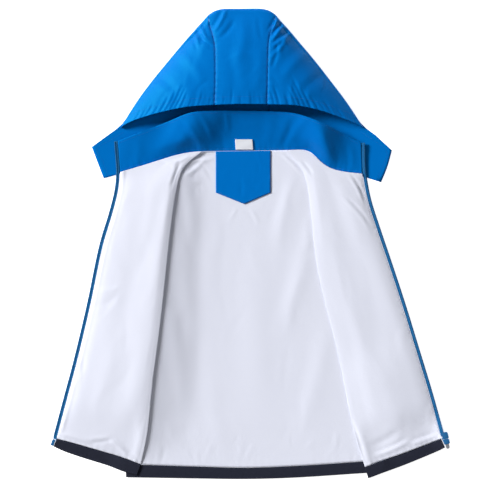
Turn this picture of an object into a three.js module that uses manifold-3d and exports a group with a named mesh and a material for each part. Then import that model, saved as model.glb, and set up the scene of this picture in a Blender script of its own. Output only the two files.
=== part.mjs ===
import * as THREE from 'three';
import { mergeVertices } from 'three/addons/utils/BufferGeometryUtils.js';
import Module from 'manifold-3d';

// A kids' hooded zip raincoat, opened and laid flat on its back with the lining up.
// Millimetres. +X is the right of the laid garment, +Y runs from hem to hood, +Z is up.
// The surface that it lies on is z = 0.

// Walls and clearances
const SHELL = 1.2;
const LINING = 1.0;
const TRIM = 1.0;
const COLLAR_WALL = 2.2;
const BAND = 2.3;
const SEAM = 0.3;

// Height of the pieces that lie on each other
const SLEEVE_HIGH = 3.4;
const BACK_LINING_FLOOR = SHELL + SEAM;
const BACK_TOP = BACK_LINING_FLOOR + LINING;
const OVER_BACK = BACK_TOP + 0.4;
const OVER_SLEEVE = SLEEVE_HIGH + 0.4;
const ON_HOOD = SHELL + SEAM;
const ON_COLLAR_FOOT = ON_HOOD + COLLAR_WALL + 0.4;
const BAND_CROWN = 0.4;
const UNDER_FRONT = 7;
const FULL_RIGHT = 0.4;
const RISE_CURL = 1.3;
const CREASE_ROLL = 8;
const CREASE_LIFT = 0.5;
const LABEL_GAP = 0.7;
const PATCH_GAP = 0.6;

// Hood
const MOUTH_HIGH = 40;
const CROWN_ROLL = 6.5;
const CROWN_REACH = 10;
const SIDE_ROLL = 4.5;
const SIDE_REACH = 6.5;
const ARCH = 2.1;
const CENTER_BULGE = 2.5;
const CHIN_FADE = 6;
const COLLAR_CURL = 1.3;
const COLLAR_SAMPLES = { along: 80, up: 24 };
const MIDDLE_FLOOR = SHELL / 2;
const HOOD_SEAM_GAP = 0.5;
const CROWN_SEAM_GAP = 1.1;
const GATHER_HIGH = 1.1;
const GATHER_REACH = 0.2;
const GATHER_UNEVEN = 0.45;
const GATHER_BEAT = 23;
const SIDE_GATHERS = 9;
const CENTER_GATHERS = 4;
const COLUMNS_A_GATHER = 3;

// Zip
const TAPE_WIDE = 6.2;
const TAPE_THICK = 1.4;
const TAPE_GAP = 0.7;
const TAPE_END_LEFT = 0.998;
const TAPE_END_RIGHT = 0.994;
const CORNER_LIFT = 4.2;
const ZIP_LEAN = THREE.MathUtils.degToRad(14);
const PIN_LEAN = THREE.MathUtils.degToRad(20);
const SLIDER_PLACE = { x: 340, y: -336 };
const SLIDER_LONG = 12;
const SLIDER_WIDE = 11;
const SLIDER_FLOOR = 3;
const SLIDER_WALL = 1.2;
const PLATE = 1;
const CHANNEL = 2.2;
const BOW_LONG = 9;
const BOW_THICK = 0.8;
const BOW_WIDE = 2;
const BOW_POST = 1;
const PULL_LONG = 21.5;
const PULL_WIDE = 6.4;
const PULL_THICK = 1.4;
const PULL_NECK = 2.4;
const PULL_RIM = 1;
const PULL_SHOULDER = 3;
const PULL_SLOT_END = -6;
const HINGE = { y: -2.2, z: 1.9 };
const RETAINER_LONG = 9;
const RETAINER_THICK = 3.4;
const PIN_PLACE = { x: -345.8, y: -348.2 };
const PIN_WIDE = 5.4;
const PIN_LONG = 11.5;
const PIN_THICK = 2;

// Outlines in plan, from the neck down or from left to right
const neckLeft = [
  { x: -84, y: 161 },
  { x: -104, y: 160 },
  { x: -136, y: 153 },
  { x: -174, y: 141 },
  { x: -204, y: 132 },
  { x: -228, y: 125 },
];
const neckRight = [
  { x: 62, y: 163 },
  { x: 99, y: 163 },
  { x: 112, y: 154 },
  { x: 126, y: 139 },
  { x: 140, y: 131 },
  { x: 160, y: 126 },
  { x: 195, y: 122 },
];
const creaseLeft = [
  { x: -84, y: 161 },
  { x: -119, y: 132 },
  { x: -132, y: 81 },
  { x: -142, y: 4 },
  { x: -157, y: -136 },
  { x: -171, y: -242 },
  { x: -181, y: -337 },
  { x: -192, y: -386 },
];
const creaseRight = [
  { x: 62, y: 163 },
  { x: 93, y: 125 },
  { x: 104, y: 71 },
  { x: 114, y: -29 },
  { x: 132, y: -109 },
  { x: 153, y: -190 },
  { x: 180, y: -325 },
  { x: 200, y: -391 },
];
const zipLeft = [
  { x: -228, y: 125 },
  { x: -231, y: 94 },
  { x: -242, y: 50 },
  { x: -258, y: -3 },
  { x: -280, y: -108 },
  { x: -305, y: -213 },
  { x: -319, y: -265 },
  { x: -339, y: -341 },
];
const zipRight = [
  { x: 195, y: 122 },
  { x: 204, y: 76 },
  { x: 220.5, y: 24 },
  { x: 238.5, y: -29 },
  { x: 264.5, y: -108 },
  { x: 288.5, y: -186 },
  { x: 312.5, y: -265 },
  { x: 333, y: -341 },
];
const hemLeft = [
  { x: -192, y: -386 },
  { x: -220, y: -375 },
  { x: -267, y: -361 },
  { x: -316, y: -347 },
  { x: -339, y: -341 },
];
const hemRight = [
  { x: 200, y: -391 },
  { x: 219, y: -383 },
  { x: 263, y: -368 },
  { x: 300, y: -354 },
  { x: 333, y: -341 },
];
const hemBack = [
  { x: -199, y: -386.5 },
  { x: -89, y: -390 },
  { x: -10, y: -392 },
  { x: 93, y: -388 },
  { x: 205, y: -380.5 },
];
const bandFootLeft = [
  { x: -199, y: -405 },
  { x: -222, y: -399 },
  { x: -248, y: -389 },
  { x: -290, y: -376 },
  { x: -328, y: -363 },
  { x: -345, y: -355 },
];
const bandFootRight = [
  { x: 205.5, y: -411 },
  { x: 226, y: -403 },
  { x: 265, y: -389 },
  { x: 302, y: -374 },
  { x: 331, y: -361.5 },
  { x: 340, y: -356.5 },
];
const bandStub = [{ x: -219, y: -389 }, hemBack[0]];
const bandFootBack = [
  { x: -218, y: -409 },
  { x: -99, y: -411 },
  { x: -10, y: -412 },
  { x: 69, y: -410 },
  { x: 209, y: -401 },
];

// Collar: where its free edge lies, and how high
const collarEdge = [
  { x: -232, y: 179, high: 4 },
  { x: -209, y: 188, high: 8 },
  { x: -148, y: 211, high: 14 },
  { x: -104, y: 228, high: 22 },
  { x: -60, y: 231, high: 21 },
  { x: -15, y: 231, high: 20 },
  { x: 40, y: 230, high: 21 },
  { x: 76, y: 227, high: 22 },
  { x: 125, y: 210, high: 20 },
  { x: 165, y: 190, high: 8 },
  { x: 193, y: 176, high: 4 },
];

// Hood: front edge from the left side fold to the right one, in three stretches between the seams
const mouthLeft = [
  { x: -62, y: 241 },
  { x: -108, y: 238 },
  { x: -146, y: 231 },
  { x: -185, y: 221 },
  { x: -211, y: 212 },
  { x: -227, y: 203 },
];
const mouthCenter = [
  { x: -62, y: 241 },
  { x: -16, y: 242.5 },
  { x: 29, y: 242 },
];
const mouthRight = [
  { x: 29, y: 242 },
  { x: 81, y: 240 },
  { x: 120, y: 232 },
  { x: 156, y: 220 },
  { x: 180, y: 211 },
  { x: 196, y: 204 },
];
const sideFoldLeft = [
  { x: -227, y: 203 },
  { x: -197, y: 251 },
  { x: -171, y: 286 },
  { x: -142, y: 321 },
  { x: -113, y: 356 },
  { x: -90, y: 381 },
  { x: -83, y: 389 },
  { x: -74, y: 399 },
];
const sideFoldRight = [
  { x: 196, y: 204 },
  { x: 165, y: 251 },
  { x: 138, y: 286 },
  { x: 111, y: 321 },
  { x: 81, y: 356 },
  { x: 60, y: 381 },
  { x: 52, y: 389 },
  { x: 43, y: 400 },
];
const crownLine = [
  { x: -74, y: 399 },
  { x: -66, y: 405 },
  { x: -55, y: 409 },
  { x: -16, y: 410 },
  { x: 25, y: 409.5 },
  { x: 35, y: 406 },
  { x: 43, y: 400 },
];
const topSeamLeft = [
  { x: -62, y: 241 },
  { x: -61, y: 300 },
  { x: -62, y: 346 },
  { x: -66, y: 365 },
  { x: -72, y: 383 },
  { x: -73, y: 389 },
];
const topSeamRight = [
  { x: 29, y: 242 },
  { x: 30, y: 300 },
  { x: 31, y: 346 },
  { x: 34, y: 368 },
  { x: 40, y: 383 },
  { x: 42, y: 390 },
];
const backSeamLeft = [
  { x: -62, y: 162 },
  { x: -64, y: 250 },
  { x: -69, y: 340 },
  { x: -73, y: 389 },
];
const backSeamRight = [
  { x: 29, y: 163.2 },
  { x: 32, y: 250 },
  { x: 38, y: 340 },
  { x: 42, y: 390 },
];

// Chin ends of the hood and its neck seam: side fold, tip, lower corner, zip, neck
const chinAndNeckLeft = [
  { x: -227, y: 203, share: 0 },
  { x: -252, y: 188, share: 0.1 },
  { x: -278, y: 169, share: 0.2 },
  { x: -268, y: 142, share: 0.3 },
  { x: -257, y: 114, share: 0.4 },
  { x: -233, y: 120, share: 0.5 },
  { x: -204, y: 133, share: 0.6 },
  { x: -174, y: 142, share: 0.7 },
  { x: -136, y: 154.5, share: 0.8 },
  { x: -104, y: 161.2, share: 0.9 },
  { x: -62, y: 162, share: 1 },
];
const chinAndNeckRight = [
  { x: 196, y: 204, share: 0 },
  { x: 218, y: 190, share: 0.1 },
  { x: 247, y: 163, share: 0.2 },
  { x: 240, y: 134, share: 0.3 },
  { x: 228, y: 107, share: 0.4 },
  { x: 204, y: 115, share: 0.5 },
  { x: 160, y: 127, share: 0.6 },
  { x: 140, y: 132, share: 0.7 },
  { x: 112, y: 155, share: 0.8 },
  { x: 99, y: 164, share: 0.9 },
  { x: 29, y: 163.2, share: 1 },
];

// How the hood's upper layer rises from crown to mouth, along each seam
const hoodRise = [
  { share: 0, high: MOUTH_HIGH },
  { share: 0.2, high: 40 },
  { share: 0.45, high: 36 },
  { share: 0.7, high: 28 },
  { share: 0.88, high: 19 },
  { share: 1, high: SHELL / 2 + 2 * CROWN_ROLL },
];

// Sleeves, flattened: each row is one section from its shoulder side to its underarm side
const sleeveLeftRows = [
  { outX: -137, outY: 122, inX: -157, inY: -6 },
  { outX: -165, outY: 119, inX: -158, inY: -17 },
  { outX: -199, outY: 106, inX: -160, inY: -33 },
  { outX: -218, outY: 80, inX: -163, inY: -54 },
  { outX: -229, outY: 42, inX: -165, inY: -82 },
  { outX: -240, outY: -10, inX: -171, inY: -118 },
  { outX: -255, outY: -80, inX: -177, inY: -160 },
  { outX: -270, outY: -142, inX: -186, inY: -205 },
  { outX: -284, outY: -198, inX: -196, inY: -246 },
  { outX: -296, outY: -246, inX: -207, inY: -284 },
  { outX: -301, outY: -266, inX: -212, inY: -300 },
];
const sleeveRightRows = [
  { outX: 108, outY: 110, inX: 125, inY: -10 },
  { outX: 134, outY: 112, inX: 126, inY: -24 },
  { outX: 164, outY: 100, inX: 129, inY: -40 },
  { outX: 181, outY: 78, inX: 134, inY: -60 },
  { outX: 193, outY: 42, inX: 141, inY: -88 },
  { outX: 207, outY: -4, inX: 149, inY: -122 },
  { outX: 227, outY: -66, inX: 159, inY: -162 },
  { outX: 246, outY: -126, inX: 171, inY: -208 },
  { outX: 264, outY: -180, inX: 184, inY: -248 },
  { outX: 281, outY: -232, inX: 197, inY: -287 },
  { outX: 289, outY: -256, inX: 203, inY: -304 },
];

// Underside of a front: over the sleeve and below it, from the crease across to the zip, and how full it lies
const frontSupport = [
  { share: 0, overSleeve: OVER_BACK, below: OVER_BACK, full: 1 },
  { share: 0.045, overSleeve: OVER_BACK, below: OVER_BACK, full: 1 },
  { share: 0.085, overSleeve: OVER_BACK + 0.4, below: OVER_BACK, full: 0.99 },
  { share: 0.125, overSleeve: OVER_SLEEVE, below: 1.2, full: 0.96 },
  { share: 0.21, overSleeve: OVER_SLEEVE + 0.1, below: 0, full: 0.88 },
  { share: 0.32, overSleeve: OVER_SLEEVE + 0.2, below: 0, full: 0.79 },
  { share: 0.44, overSleeve: OVER_SLEEVE + 0.1, below: 0, full: 0.69 },
  { share: 0.56, overSleeve: OVER_SLEEVE + 0.2, below: 0, full: 0.59 },
  { share: 0.68, overSleeve: OVER_SLEEVE + 0.1, below: 0, full: 0.5 },
  { share: 0.79, overSleeve: OVER_SLEEVE, below: 0, full: 0.41 },
  { share: 0.875, overSleeve: OVER_SLEEVE, below: 0, full: 0.33 },
  { share: 0.95, overSleeve: 2.2, below: 0, full: 0.22 },
  { share: 1, overSleeve: 0, below: 0, full: 0 },
];
const frontRows = [
  0, 0.02, 0.045, 0.08, 0.12, 0.18, 0.25, 0.33, 0.41, 0.49, 0.57, 0.65, 0.73, 0.8, 0.865, 0.9, 0.935, 0.97, 1,
];
const NECK_RISE_ENDS = 0.045;
const CUFF_FALL_STARTS = 0.865;
const CUFF_FALL_ENDS = 0.935;

// The back and the left front rise to the left crease: from the neck down, how high and how far across the back
const creaseRise = [
  { share: -162, high: 0, reach: 20 },
  { share: -145, high: 3, reach: 26 },
  { share: -125, high: 8, reach: 34 },
  { share: -95, high: 11.5, reach: 44 },
  { share: -40, high: 13, reach: 54 },
  { share: 80, high: 14, reach: 62 },
  { share: 186, high: 15.5, reach: 74 },
  { share: 274, high: 14, reach: 74 },
  { share: 340, high: 8.5, reach: 58 },
  { share: 370, high: 2.5, reach: 46 },
  { share: 384, high: 0, reach: 40 },
];

// Soft folds: middle, direction in degrees, half length, half width and height
const backFolds = [
  { x: -95, y: 60, turn: 96, long: 70, wide: 14, high: 1.2 },
  { x: -104, y: -70, turn: 94, long: 90, wide: 16, high: 0.9 },
  { x: -66, y: -40, turn: 88, long: 110, wide: 19, high: 0.7 },
  { x: 70, y: 70, turn: 78, long: 60, wide: 16, high: 1 },
  { x: 88, y: -60, turn: 74, long: 90, wide: 18, high: 0.8 },
  { x: -120, y: -240, turn: 97, long: 90, wide: 19, high: 0.7 },
  { x: 20, y: -180, turn: 90, long: 120, wide: 22, high: 0.5 },
  { x: 120, y: -270, turn: 80, long: 80, wide: 18, high: 0.7 },
  { x: -30, y: -320, turn: 20, long: 70, wide: 19, high: 0.4 },
];
const frontFoldsLeft = [
  { x: -150, y: 116, turn: 62, long: 26, wide: 12, high: 1.4 },
  { x: -147, y: 60, turn: 82, long: 60, wide: 12, high: 1.3 },
  { x: -205, y: 40, turn: 74, long: 80, wide: 16, high: 0.8 },
  { x: -196, y: -120, turn: 80, long: 110, wide: 18, high: 0.8 },
  { x: -250, y: -190, turn: 74, long: 90, wide: 18, high: 0.8 },
  { x: -225, y: -300, turn: 60, long: 60, wide: 16, high: 0.9 },
];
const frontFoldsRight = [
  { x: 116, y: 118, turn: 130, long: 24, wide: 12, high: 1.2 },
  { x: 120, y: 60, turn: 96, long: 60, wide: 12, high: 0.9 },
  { x: 178, y: 66, turn: 118, long: 60, wide: 14, high: 1.1 },
  { x: 200, y: -20, turn: 112, long: 90, wide: 15, high: 0.8 },
  { x: 190, y: -150, turn: 108, long: 100, wide: 18, high: 0.8 },
  { x: 240, y: -220, turn: 110, long: 90, wide: 18, high: 0.7 },
  { x: 250, y: -318, turn: 130, long: 60, wide: 16, high: 0.8 },
];
const collarFolds = [
  { x: -112, y: 194, turn: 58, long: 62, wide: 28, high: 14 },
  { x: -88, y: 192, turn: 112, long: 34, wide: 9, high: 2.4 },
  { x: -60, y: 202, turn: 106, long: 26, wide: 8, high: 1.6 },
  { x: 58, y: 198, turn: 70, long: 30, wide: 9, high: 1.6 },
  { x: 120, y: 188, turn: 112, long: 58, wide: 28, high: 14 },
];
const hoodFolds = [
  { x: -84, y: 366, turn: 128, long: 22, wide: 5, high: 2.4 },
  { x: -92, y: 350, turn: 118, long: 20, wide: 5, high: 1.8 },
  { x: -50, y: 384, turn: 60, long: 22, wide: 6, high: 1.8 },
  { x: 50, y: 372, turn: 48, long: 24, wide: 5, high: 2.6 },
  { x: 58, y: 356, turn: 42, long: 24, wide: 5, high: 2.2 },
  { x: 50, y: 338, turn: 52, long: 20, wide: 5, high: 1.6 },
  { x: -130, y: 270, turn: 150, long: 60, wide: 16, high: 2.2 },
  { x: 100, y: 268, turn: 30, long: 56, wide: 15, high: 2.2 },
  { x: -18, y: 330, turn: 88, long: 60, wide: 16, high: 1.6 },
];

// Bare neck label on the collar, and the pentagon patch below it
const label = { left: -26, right: 4.5, foot: 164, head: 182, lean: -1.5 };
const patch = { left: -61, right: 35, headLeft: 161.2, headRight: 162.5, sideFoot: 89, tipX: -11, tip: 69 };

// Underside of the zip tapes, from the collar's top over the chin ends down to the surface
const tapeRise = [
  { share: -179, high: 5.6 },
  { share: -150, high: 3.6 },
  { share: -125, high: 3.2 },
  { share: -112, high: 2.2 },
  { share: -98, high: 0.9 },
  { share: -84, high: 0 },
];

// Columns of a hood side's lower layer, from the side fold to the rear seam
const underColumns = [1, 0.9, 0.8, 0.7, 0.6, 0.5, 0.4, 0.3, 0.2, 0.1, 0];
const hoodRows = [0, 0.045, 0.1, 0.17, 0.27, 0.39, 0.51, 0.63, 0.75, 0.86, 0.94, 1];

const point = (x, y, z = 0) => new THREE.Vector3(x, y, z);
const mix = (from, to, share) => from + (to - from) * share;
const ease = (low, high, value) => THREE.MathUtils.smoothstep(value, low, high);
const steps = (count) => Array.from({ length: count + 1 }, (_, i) => i / count);

// Value of a named column of a table, straight between its rows
function tableValue(rows, column, share) {
  const next = rows.findIndex((row) => row.share >= share);
  if (next <= 0) {
    return rows[next < 0 ? rows.length - 1 : 0][column];
  }
  const before = rows[next - 1];
  const after = rows[next];
  return mix(before[column], after[column], (share - before.share) / (after.share - before.share));
}

// Smooth line through each table of points in turn, read by its share of the whole length
function line(...tables) {
  const path = new THREE.CurvePath();
  tables.forEach((rows) => {
    const places = rows.map((row) => point(row.x, row.y, row.high ?? 0));
    path.add(new THREE.CatmullRomCurve3(places, false, 'centripetal'));
  });
  return (share) => path.getPoint(THREE.MathUtils.clamp(share, 0, 1));
}

// Line with corners through a table that gives each point its share
function cornered(rows) {
  return (share) => point(tableValue(rows, 'x', share), tableValue(rows, 'y', share));
}

// Point of a four-sided panel between its edge lines
function panelPoint({ top, foot, start, end }, u, v) {
  const along = top(u).lerp(foot(u), v);
  const down = start(v).lerp(end(v), u);
  const corners = top(0).lerp(top(1), u).lerp(foot(0).lerp(foot(1), u), v);
  return along.add(down).sub(corners);
}

function foldHeight(folds, x, y) {
  return folds.reduce((sum, fold) => {
    const turn = THREE.MathUtils.degToRad(fold.turn);
    const dx = x - fold.x;
    const dy = y - fold.y;
    const along = (dx * Math.cos(turn) + dy * Math.sin(turn)) / fold.long;
    const across = (dy * Math.cos(turn) - dx * Math.sin(turn)) / fold.wide;
    return sum + fold.high * Math.exp(-across * across - along * along);
  }, 0);
}

function makeGrid(rows, columns, place) {
  return rows.map((v) => columns.map((u) => place(u, v)));
}

const lift = (grid, height) => grid.map((row) => row.map((p) => point(p.x, p.y, p.z + height)));

// Closed solid from triangles, turned so that its faces point out
function closedSolid(places, index) {
  const corner = (i) => places[index[i]];
  let volume = 0;
  for (let i = 0; i < index.length; i += 3) {
    volume += corner(i).dot(point(0, 0).crossVectors(corner(i + 1), corner(i + 2)));
  }
  const geometry = new THREE.BufferGeometry();
  geometry.setIndex(volume < 0 ? [...index].reverse() : index);
  const numbers = places.flatMap((p) => [p.x, p.y, p.z]);
  geometry.setAttribute('position', new THREE.Float32BufferAttribute(numbers, 3));
  geometry.computeVertexNormals();
  return geometry;
}

// Sheet of cloth between an upper and a lower grid of points, closed round its rim
function sheet(over, under) {
  const rows = over.length - 1;
  const columns = over[0].length - 1;
  const places = [...over.flat(), ...under.flat()];
  const at = (row, column, side) => (side * (rows + 1) + row) * (columns + 1) + column;
  const index = [];
  const quad = (a, b, c, d) => index.push(a, b, c, a, c, d);
  for (let r = 0; r < rows; r += 1) {
    for (let c = 0; c < columns; c += 1) {
      quad(at(r, c, 0), at(r + 1, c, 0), at(r + 1, c + 1, 0), at(r, c + 1, 0));
      quad(at(r, c, 1), at(r, c + 1, 1), at(r + 1, c + 1, 1), at(r + 1, c, 1));
    }
    quad(at(r + 1, 0, 0), at(r, 0, 0), at(r, 0, 1), at(r + 1, 0, 1));
    quad(at(r, columns, 0), at(r + 1, columns, 0), at(r + 1, columns, 1), at(r, columns, 1));
  }
  for (let c = 0; c < columns; c += 1) {
    quad(at(0, c, 0), at(0, c + 1, 0), at(0, c + 1, 1), at(0, c, 1));
    quad(at(rows, c + 1, 0), at(rows, c, 0), at(rows, c, 1), at(rows, c + 1, 1));
  }
  return closedSolid(places, index);
}

// Wall of even thickness round a grid of middle points
function thickened(middle, wall) {
  const rows = middle.length;
  const columns = middle[0].length;
  const at = (r, c) => middle[THREE.MathUtils.clamp(r, 0, rows - 1)][THREE.MathUtils.clamp(c, 0, columns - 1)];
  const side = (distance) => middle.map((row, r) => row.map((p, c) => {
    const across = at(r, c + 1).clone().sub(at(r, c - 1));
    const down = at(r - 1, c).clone().sub(at(r + 1, c));
    const moved = across.cross(down).setLength(distance).add(p);
    moved.z = Math.max(moved.z, 0);
    return moved;
  }));
  return sheet(side(wall / 2), side(-wall / 2));
}

// Open tube from outer and inner rings
function openTube(outer, inner) {
  const sections = outer.length;
  const count = outer[0].length;
  const places = [...outer.flat(), ...inner.flat()];
  const at = (section, i, side) => (side * sections + section) * count + (i % count);
  const index = [];
  const quad = (a, b, c, d) => index.push(a, b, c, a, c, d);
  for (let i = 0; i < count; i += 1) {
    for (let s = 0; s + 1 < sections; s += 1) {
      quad(at(s, i, 0), at(s, i + 1, 0), at(s + 1, i + 1, 0), at(s + 1, i, 0));
      quad(at(s, i, 1), at(s + 1, i, 1), at(s + 1, i + 1, 1), at(s, i + 1, 1));
    }
    const last = sections - 1;
    quad(at(0, i, 0), at(0, i, 1), at(0, i + 1, 1), at(0, i + 1, 0));
    quad(at(last, i, 0), at(last, i + 1, 0), at(last, i + 1, 1), at(last, i, 1));
  }
  return closedSolid(places, index);
}

const shellBlue = new THREE.MeshStandardMaterial({ color: 0x0a78d2, roughness: 0.5, metalness: 0 });
const liningWhite = new THREE.MeshStandardMaterial({ color: 0xe4e6f2, roughness: 0.9, metalness: 0 });
const bandNavy = new THREE.MeshStandardMaterial({ color: 0x20253a, roughness: 0.8, metalness: 0 });
const labelWhite = new THREE.MeshStandardMaterial({ color: 0xf4f4f6, roughness: 0.7, metalness: 0 });
const tapeBlue = new THREE.MeshStandardMaterial({ color: 0x0b62ae, roughness: 0.7, metalness: 0 });
const zipPlastic = new THREE.MeshStandardMaterial({ color: 0x0b62ae, roughness: 0.35, metalness: 0 });
const pullMetal = new THREE.MeshStandardMaterial({ color: 0x8c97a6, roughness: 0.35, metalness: 0.9 });

const raincoat = new THREE.Group();

function addPiece(name, geometry, material, parent = raincoat) {
  const mesh = new THREE.Mesh(geometry, material);
  mesh.name = name;
  parent.add(mesh);
  return mesh;
}

// Back: shell flat on the surface, lining on it with soft folds
const creaseLeftByHeight = creaseLeft.map((row) => ({ share: -row.y, x: row.x }));
const moved = (rows, dx, dy = 0) => rows.map((row) => ({ ...row, x: row.x + dx, y: row.y + dy }));
const backStart = [{ x: -84 - UNDER_FRONT, y: 160.7 }, ...moved(creaseLeft.slice(1, -1), -UNDER_FRONT), hemBack[0]];
const backEnd = [
  { x: 62 + UNDER_FRONT, y: 162.2 },
  ...moved(creaseRight.slice(1, -1), UNDER_FRONT),
  hemBack[hemBack.length - 1],
];
const backEdges = {
  top: line([backStart[0], { x: -16, y: 161 }, backEnd[0]]),
  foot: line(hemBack),
  start: line(backStart),
  end: line(backEnd),
};

// Height that the left crease adds to the back, which curls down from the crease to the right
function riseAt(x, y) {
  const high = tableValue(creaseRise, 'high', -y);
  const reach = tableValue(creaseRise, 'reach', -y);
  const fromCrest = x - tableValue(creaseLeftByHeight, 'x', -y) + CREASE_ROLL;
  return high * Math.pow(1 - THREE.MathUtils.clamp(fromCrest / (reach + CREASE_ROLL), 0, 1), RISE_CURL);
}

function backHeight(x, y, u) {
  const clearOfFronts = ease(0.02, 0.09, u) * ease(0.02, 0.09, 1 - u);
  return BACK_TOP + riseAt(x, y) + Math.max(0, foldHeight(backFolds, x, y)) * clearOfFronts;
}

function addBack() {
  const shellGrid = makeGrid(steps(12), steps(8), (u, v) => panelPoint(backEdges, u, v));
  addPiece('back_shell', sheet(lift(shellGrid, SHELL), shellGrid), shellBlue);
  const over = makeGrid(steps(22), steps(17), (u, v) => {
    const p = panelPoint(backEdges, u, v);
    p.z = backHeight(p.x, p.y, u);
    return p;
  });
  addPiece('lining_back', sheet(over, lift(over, -LINING)), liningWhite);
}

// Underside of a front, from the crease (u 0) to the zip and from the neck (v 0) to the hem
function frontHeight(u, v, fullness) {
  const over = tableValue(frontSupport, 'overSleeve', u);
  const below = tableValue(frontSupport, 'below', u);
  const beside = mix(over, below, ease(CUFF_FALL_STARTS, CUFF_FALL_ENDS, v));
  const full = fullness * tableValue(frontSupport, 'full', u);
  return full + mix(ON_COLLAR_FOOT, beside, Math.min(1, v / NECK_RISE_ENDS));
}

// Folds fade out towards the edges, where the front is held by its seams
function frontSettle(u, v) {
  return ease(0, 0.08, u) * ease(0, 0.1, 1 - u) * ease(0, 0.03, v) * ease(0, 0.05, 1 - v);
}

// A front: the lining rolls over the shell's edge at the crease and lies on the shell elsewhere
function addFront(side, edges, folds, fullnessAt, cornerLift) {
  const columns = frontSupport.map((row) => row.share);
  const underside = makeGrid(frontRows, columns, (u, v) => {
    const p = panelPoint(edges, u, v);
    const folded = Math.max(0, foldHeight(folds, p.x, p.y)) * frontSettle(u, v);
    p.z = frontHeight(u, v, fullnessAt(p.x, p.y)) + folded + cornerLift * ease(0.9, 1, u) * ease(0.93, 1, v);
    return p;
  });
  const shellUnder = underside.map((row) => row.slice(1));
  addPiece(`front_shell_${side}`, sheet(lift(shellUnder, SHELL), shellUnder), shellBlue);
  const liningUnder = lift(underside, SHELL + SEAM);
  liningUnder.forEach((row, r) => {
    row[0].z = underside[r][0].z + CREASE_LIFT;
  });
  addPiece(`lining_front_${side}`, sheet(lift(liningUnder, LINING), liningUnder), liningWhite);
}

function addFronts() {
  const left = { top: line(neckLeft), foot: line(hemLeft), start: line(creaseLeft), end: line(zipLeft) };
  const right = { top: line(neckRight), foot: line(hemRight), start: line(creaseRight), end: line(zipRight) };
  addFront('left', left, frontFoldsLeft, riseAt, 0);
  addFront('right', right, frontFoldsRight, () => FULL_RIGHT, CORNER_LIFT);
}

// A hem band, as thick as the folded cloth that it binds, and fuller along its middle
function addBand(side, topLine, footLine, count, height) {
  const under = makeGrid(steps(2), steps(count), (u, v) => {
    const p = topLine(u).lerp(footLine(u), v);
    p.z = height(u);
    return p;
  });
  const over = lift(under, BAND);
  over[1].forEach((p) => {
    p.z += BAND_CROWN;
  });
  addPiece(`hem_band_${side}`, sheet(over, under), bandNavy);
}

function addBands() {
  const below = (...tables) => line(...tables.map((rows) => moved(rows, 0, -SEAM)));
  const onBackBand = (u) => (BAND + BAND_CROWN + SEAM) * (1 - ease(0.2, 0.36, u));
  const risen = (u) => onBackBand(u) + CORNER_LIFT * ease(0.88, 1, u);
  addBand('back', below(bandStub, hemBack), line(bandFootBack), 24, () => 0);
  addBand('left', below(hemLeft), line(bandFootLeft), 16, onBackBand);
  addBand('right', below(hemRight), line(bandFootRight), 16, risen);
}

// A sleeve: an open tube pressed flat, level where it rests
function sleeveRing(row, inset) {
  const out = point(row.outX, row.outY);
  const inner = point(row.inX, row.inY);
  const middle = out.clone().lerp(inner, 0.5);
  const axis = inner.clone().sub(out).normalize();
  const round = SLEEVE_HIGH / 2;
  const flat = out.distanceTo(inner) / 2 - round;
  const radius = round - inset;
  const ring = [];
  const put = (along, rise) => ring.push(middle.clone().addScaledVector(axis, along).setZ(round + rise));
  [1, -1].forEach((end) => {
    steps(4).forEach((share) => {
      const angle = Math.PI * (share - 0.5);
      put(end * (flat + radius * Math.cos(angle)), end * radius * Math.sin(angle));
    });
    [0.5, 0, -0.5].forEach((share) => put(end * share * flat, end * radius));
  });
  return ring;
}

function addSleeve(side, rows) {
  const outer = rows.map((row) => sleeveRing(row, 0));
  const inner = rows.map((row) => sleeveRing(row, SHELL));
  addPiece(`sleeve_${side}`, openTube(outer, inner), shellBlue);
}

// Collar: from the neck seam up over the back of the hood
const neckMiddle = [neckLeft[0], neckRight[0]];
const neckTables = [[...neckLeft].reverse(), neckMiddle, neckRight];
const neckSeam = line(...neckTables.map((rows) => moved(rows, 0, SEAM)));
const collarTop = line(collarEdge);
const collarEdges = {
  top: collarTop,
  foot: neckSeam,
  start: (v) => collarTop(0).lerp(neckSeam(0), v),
  end: (v) => collarTop(1).lerp(neckSeam(1), v),
};

function collarUnderside(u, v) {
  const p = panelPoint(collarEdges, u, v);
  const rise = collarTop(u).z * Math.pow(1 - v, COLLAR_CURL);
  const settle = ease(0, 0.35, 1 - v) * ease(0, 0.04, u) * ease(0, 0.04, 1 - u);
  p.z = ON_HOOD + Math.max(0, rise + foldHeight(collarFolds, p.x, p.y) * settle);
  return p;
}

function addCollar() {
  const under = makeGrid(steps(6), steps(34), collarUnderside);
  addPiece('collar', sheet(lift(under, COLLAR_WALL), under), shellBlue);
}

// Height of the collar's face above a place in plan, from the nearest point of its panel
function collarFace(x, y) {
  const places = steps(COLLAR_SAMPLES.along).flatMap((u) => steps(COLLAR_SAMPLES.up).map((v) => collarUnderside(u, v)));
  const gap = (p) => Math.hypot(p.x - x, p.y - y);
  const nearest = places.reduce((best, p) => (gap(p) < gap(best) ? p : best));
  return nearest.z + COLLAR_WALL;
}

function addLabel() {
  const { left, right, foot, head, lean } = label;
  const under = makeGrid(steps(3), steps(4), (u, v) => {
    const x = mix(left, right, u) + lean * (1 - v);
    const y = mix(head, foot, v);
    return point(x, y, collarFace(x, y) + LABEL_GAP);
  });
  addPiece('neck_label', sheet(lift(under, TRIM), under), labelWhite);
}

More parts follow.
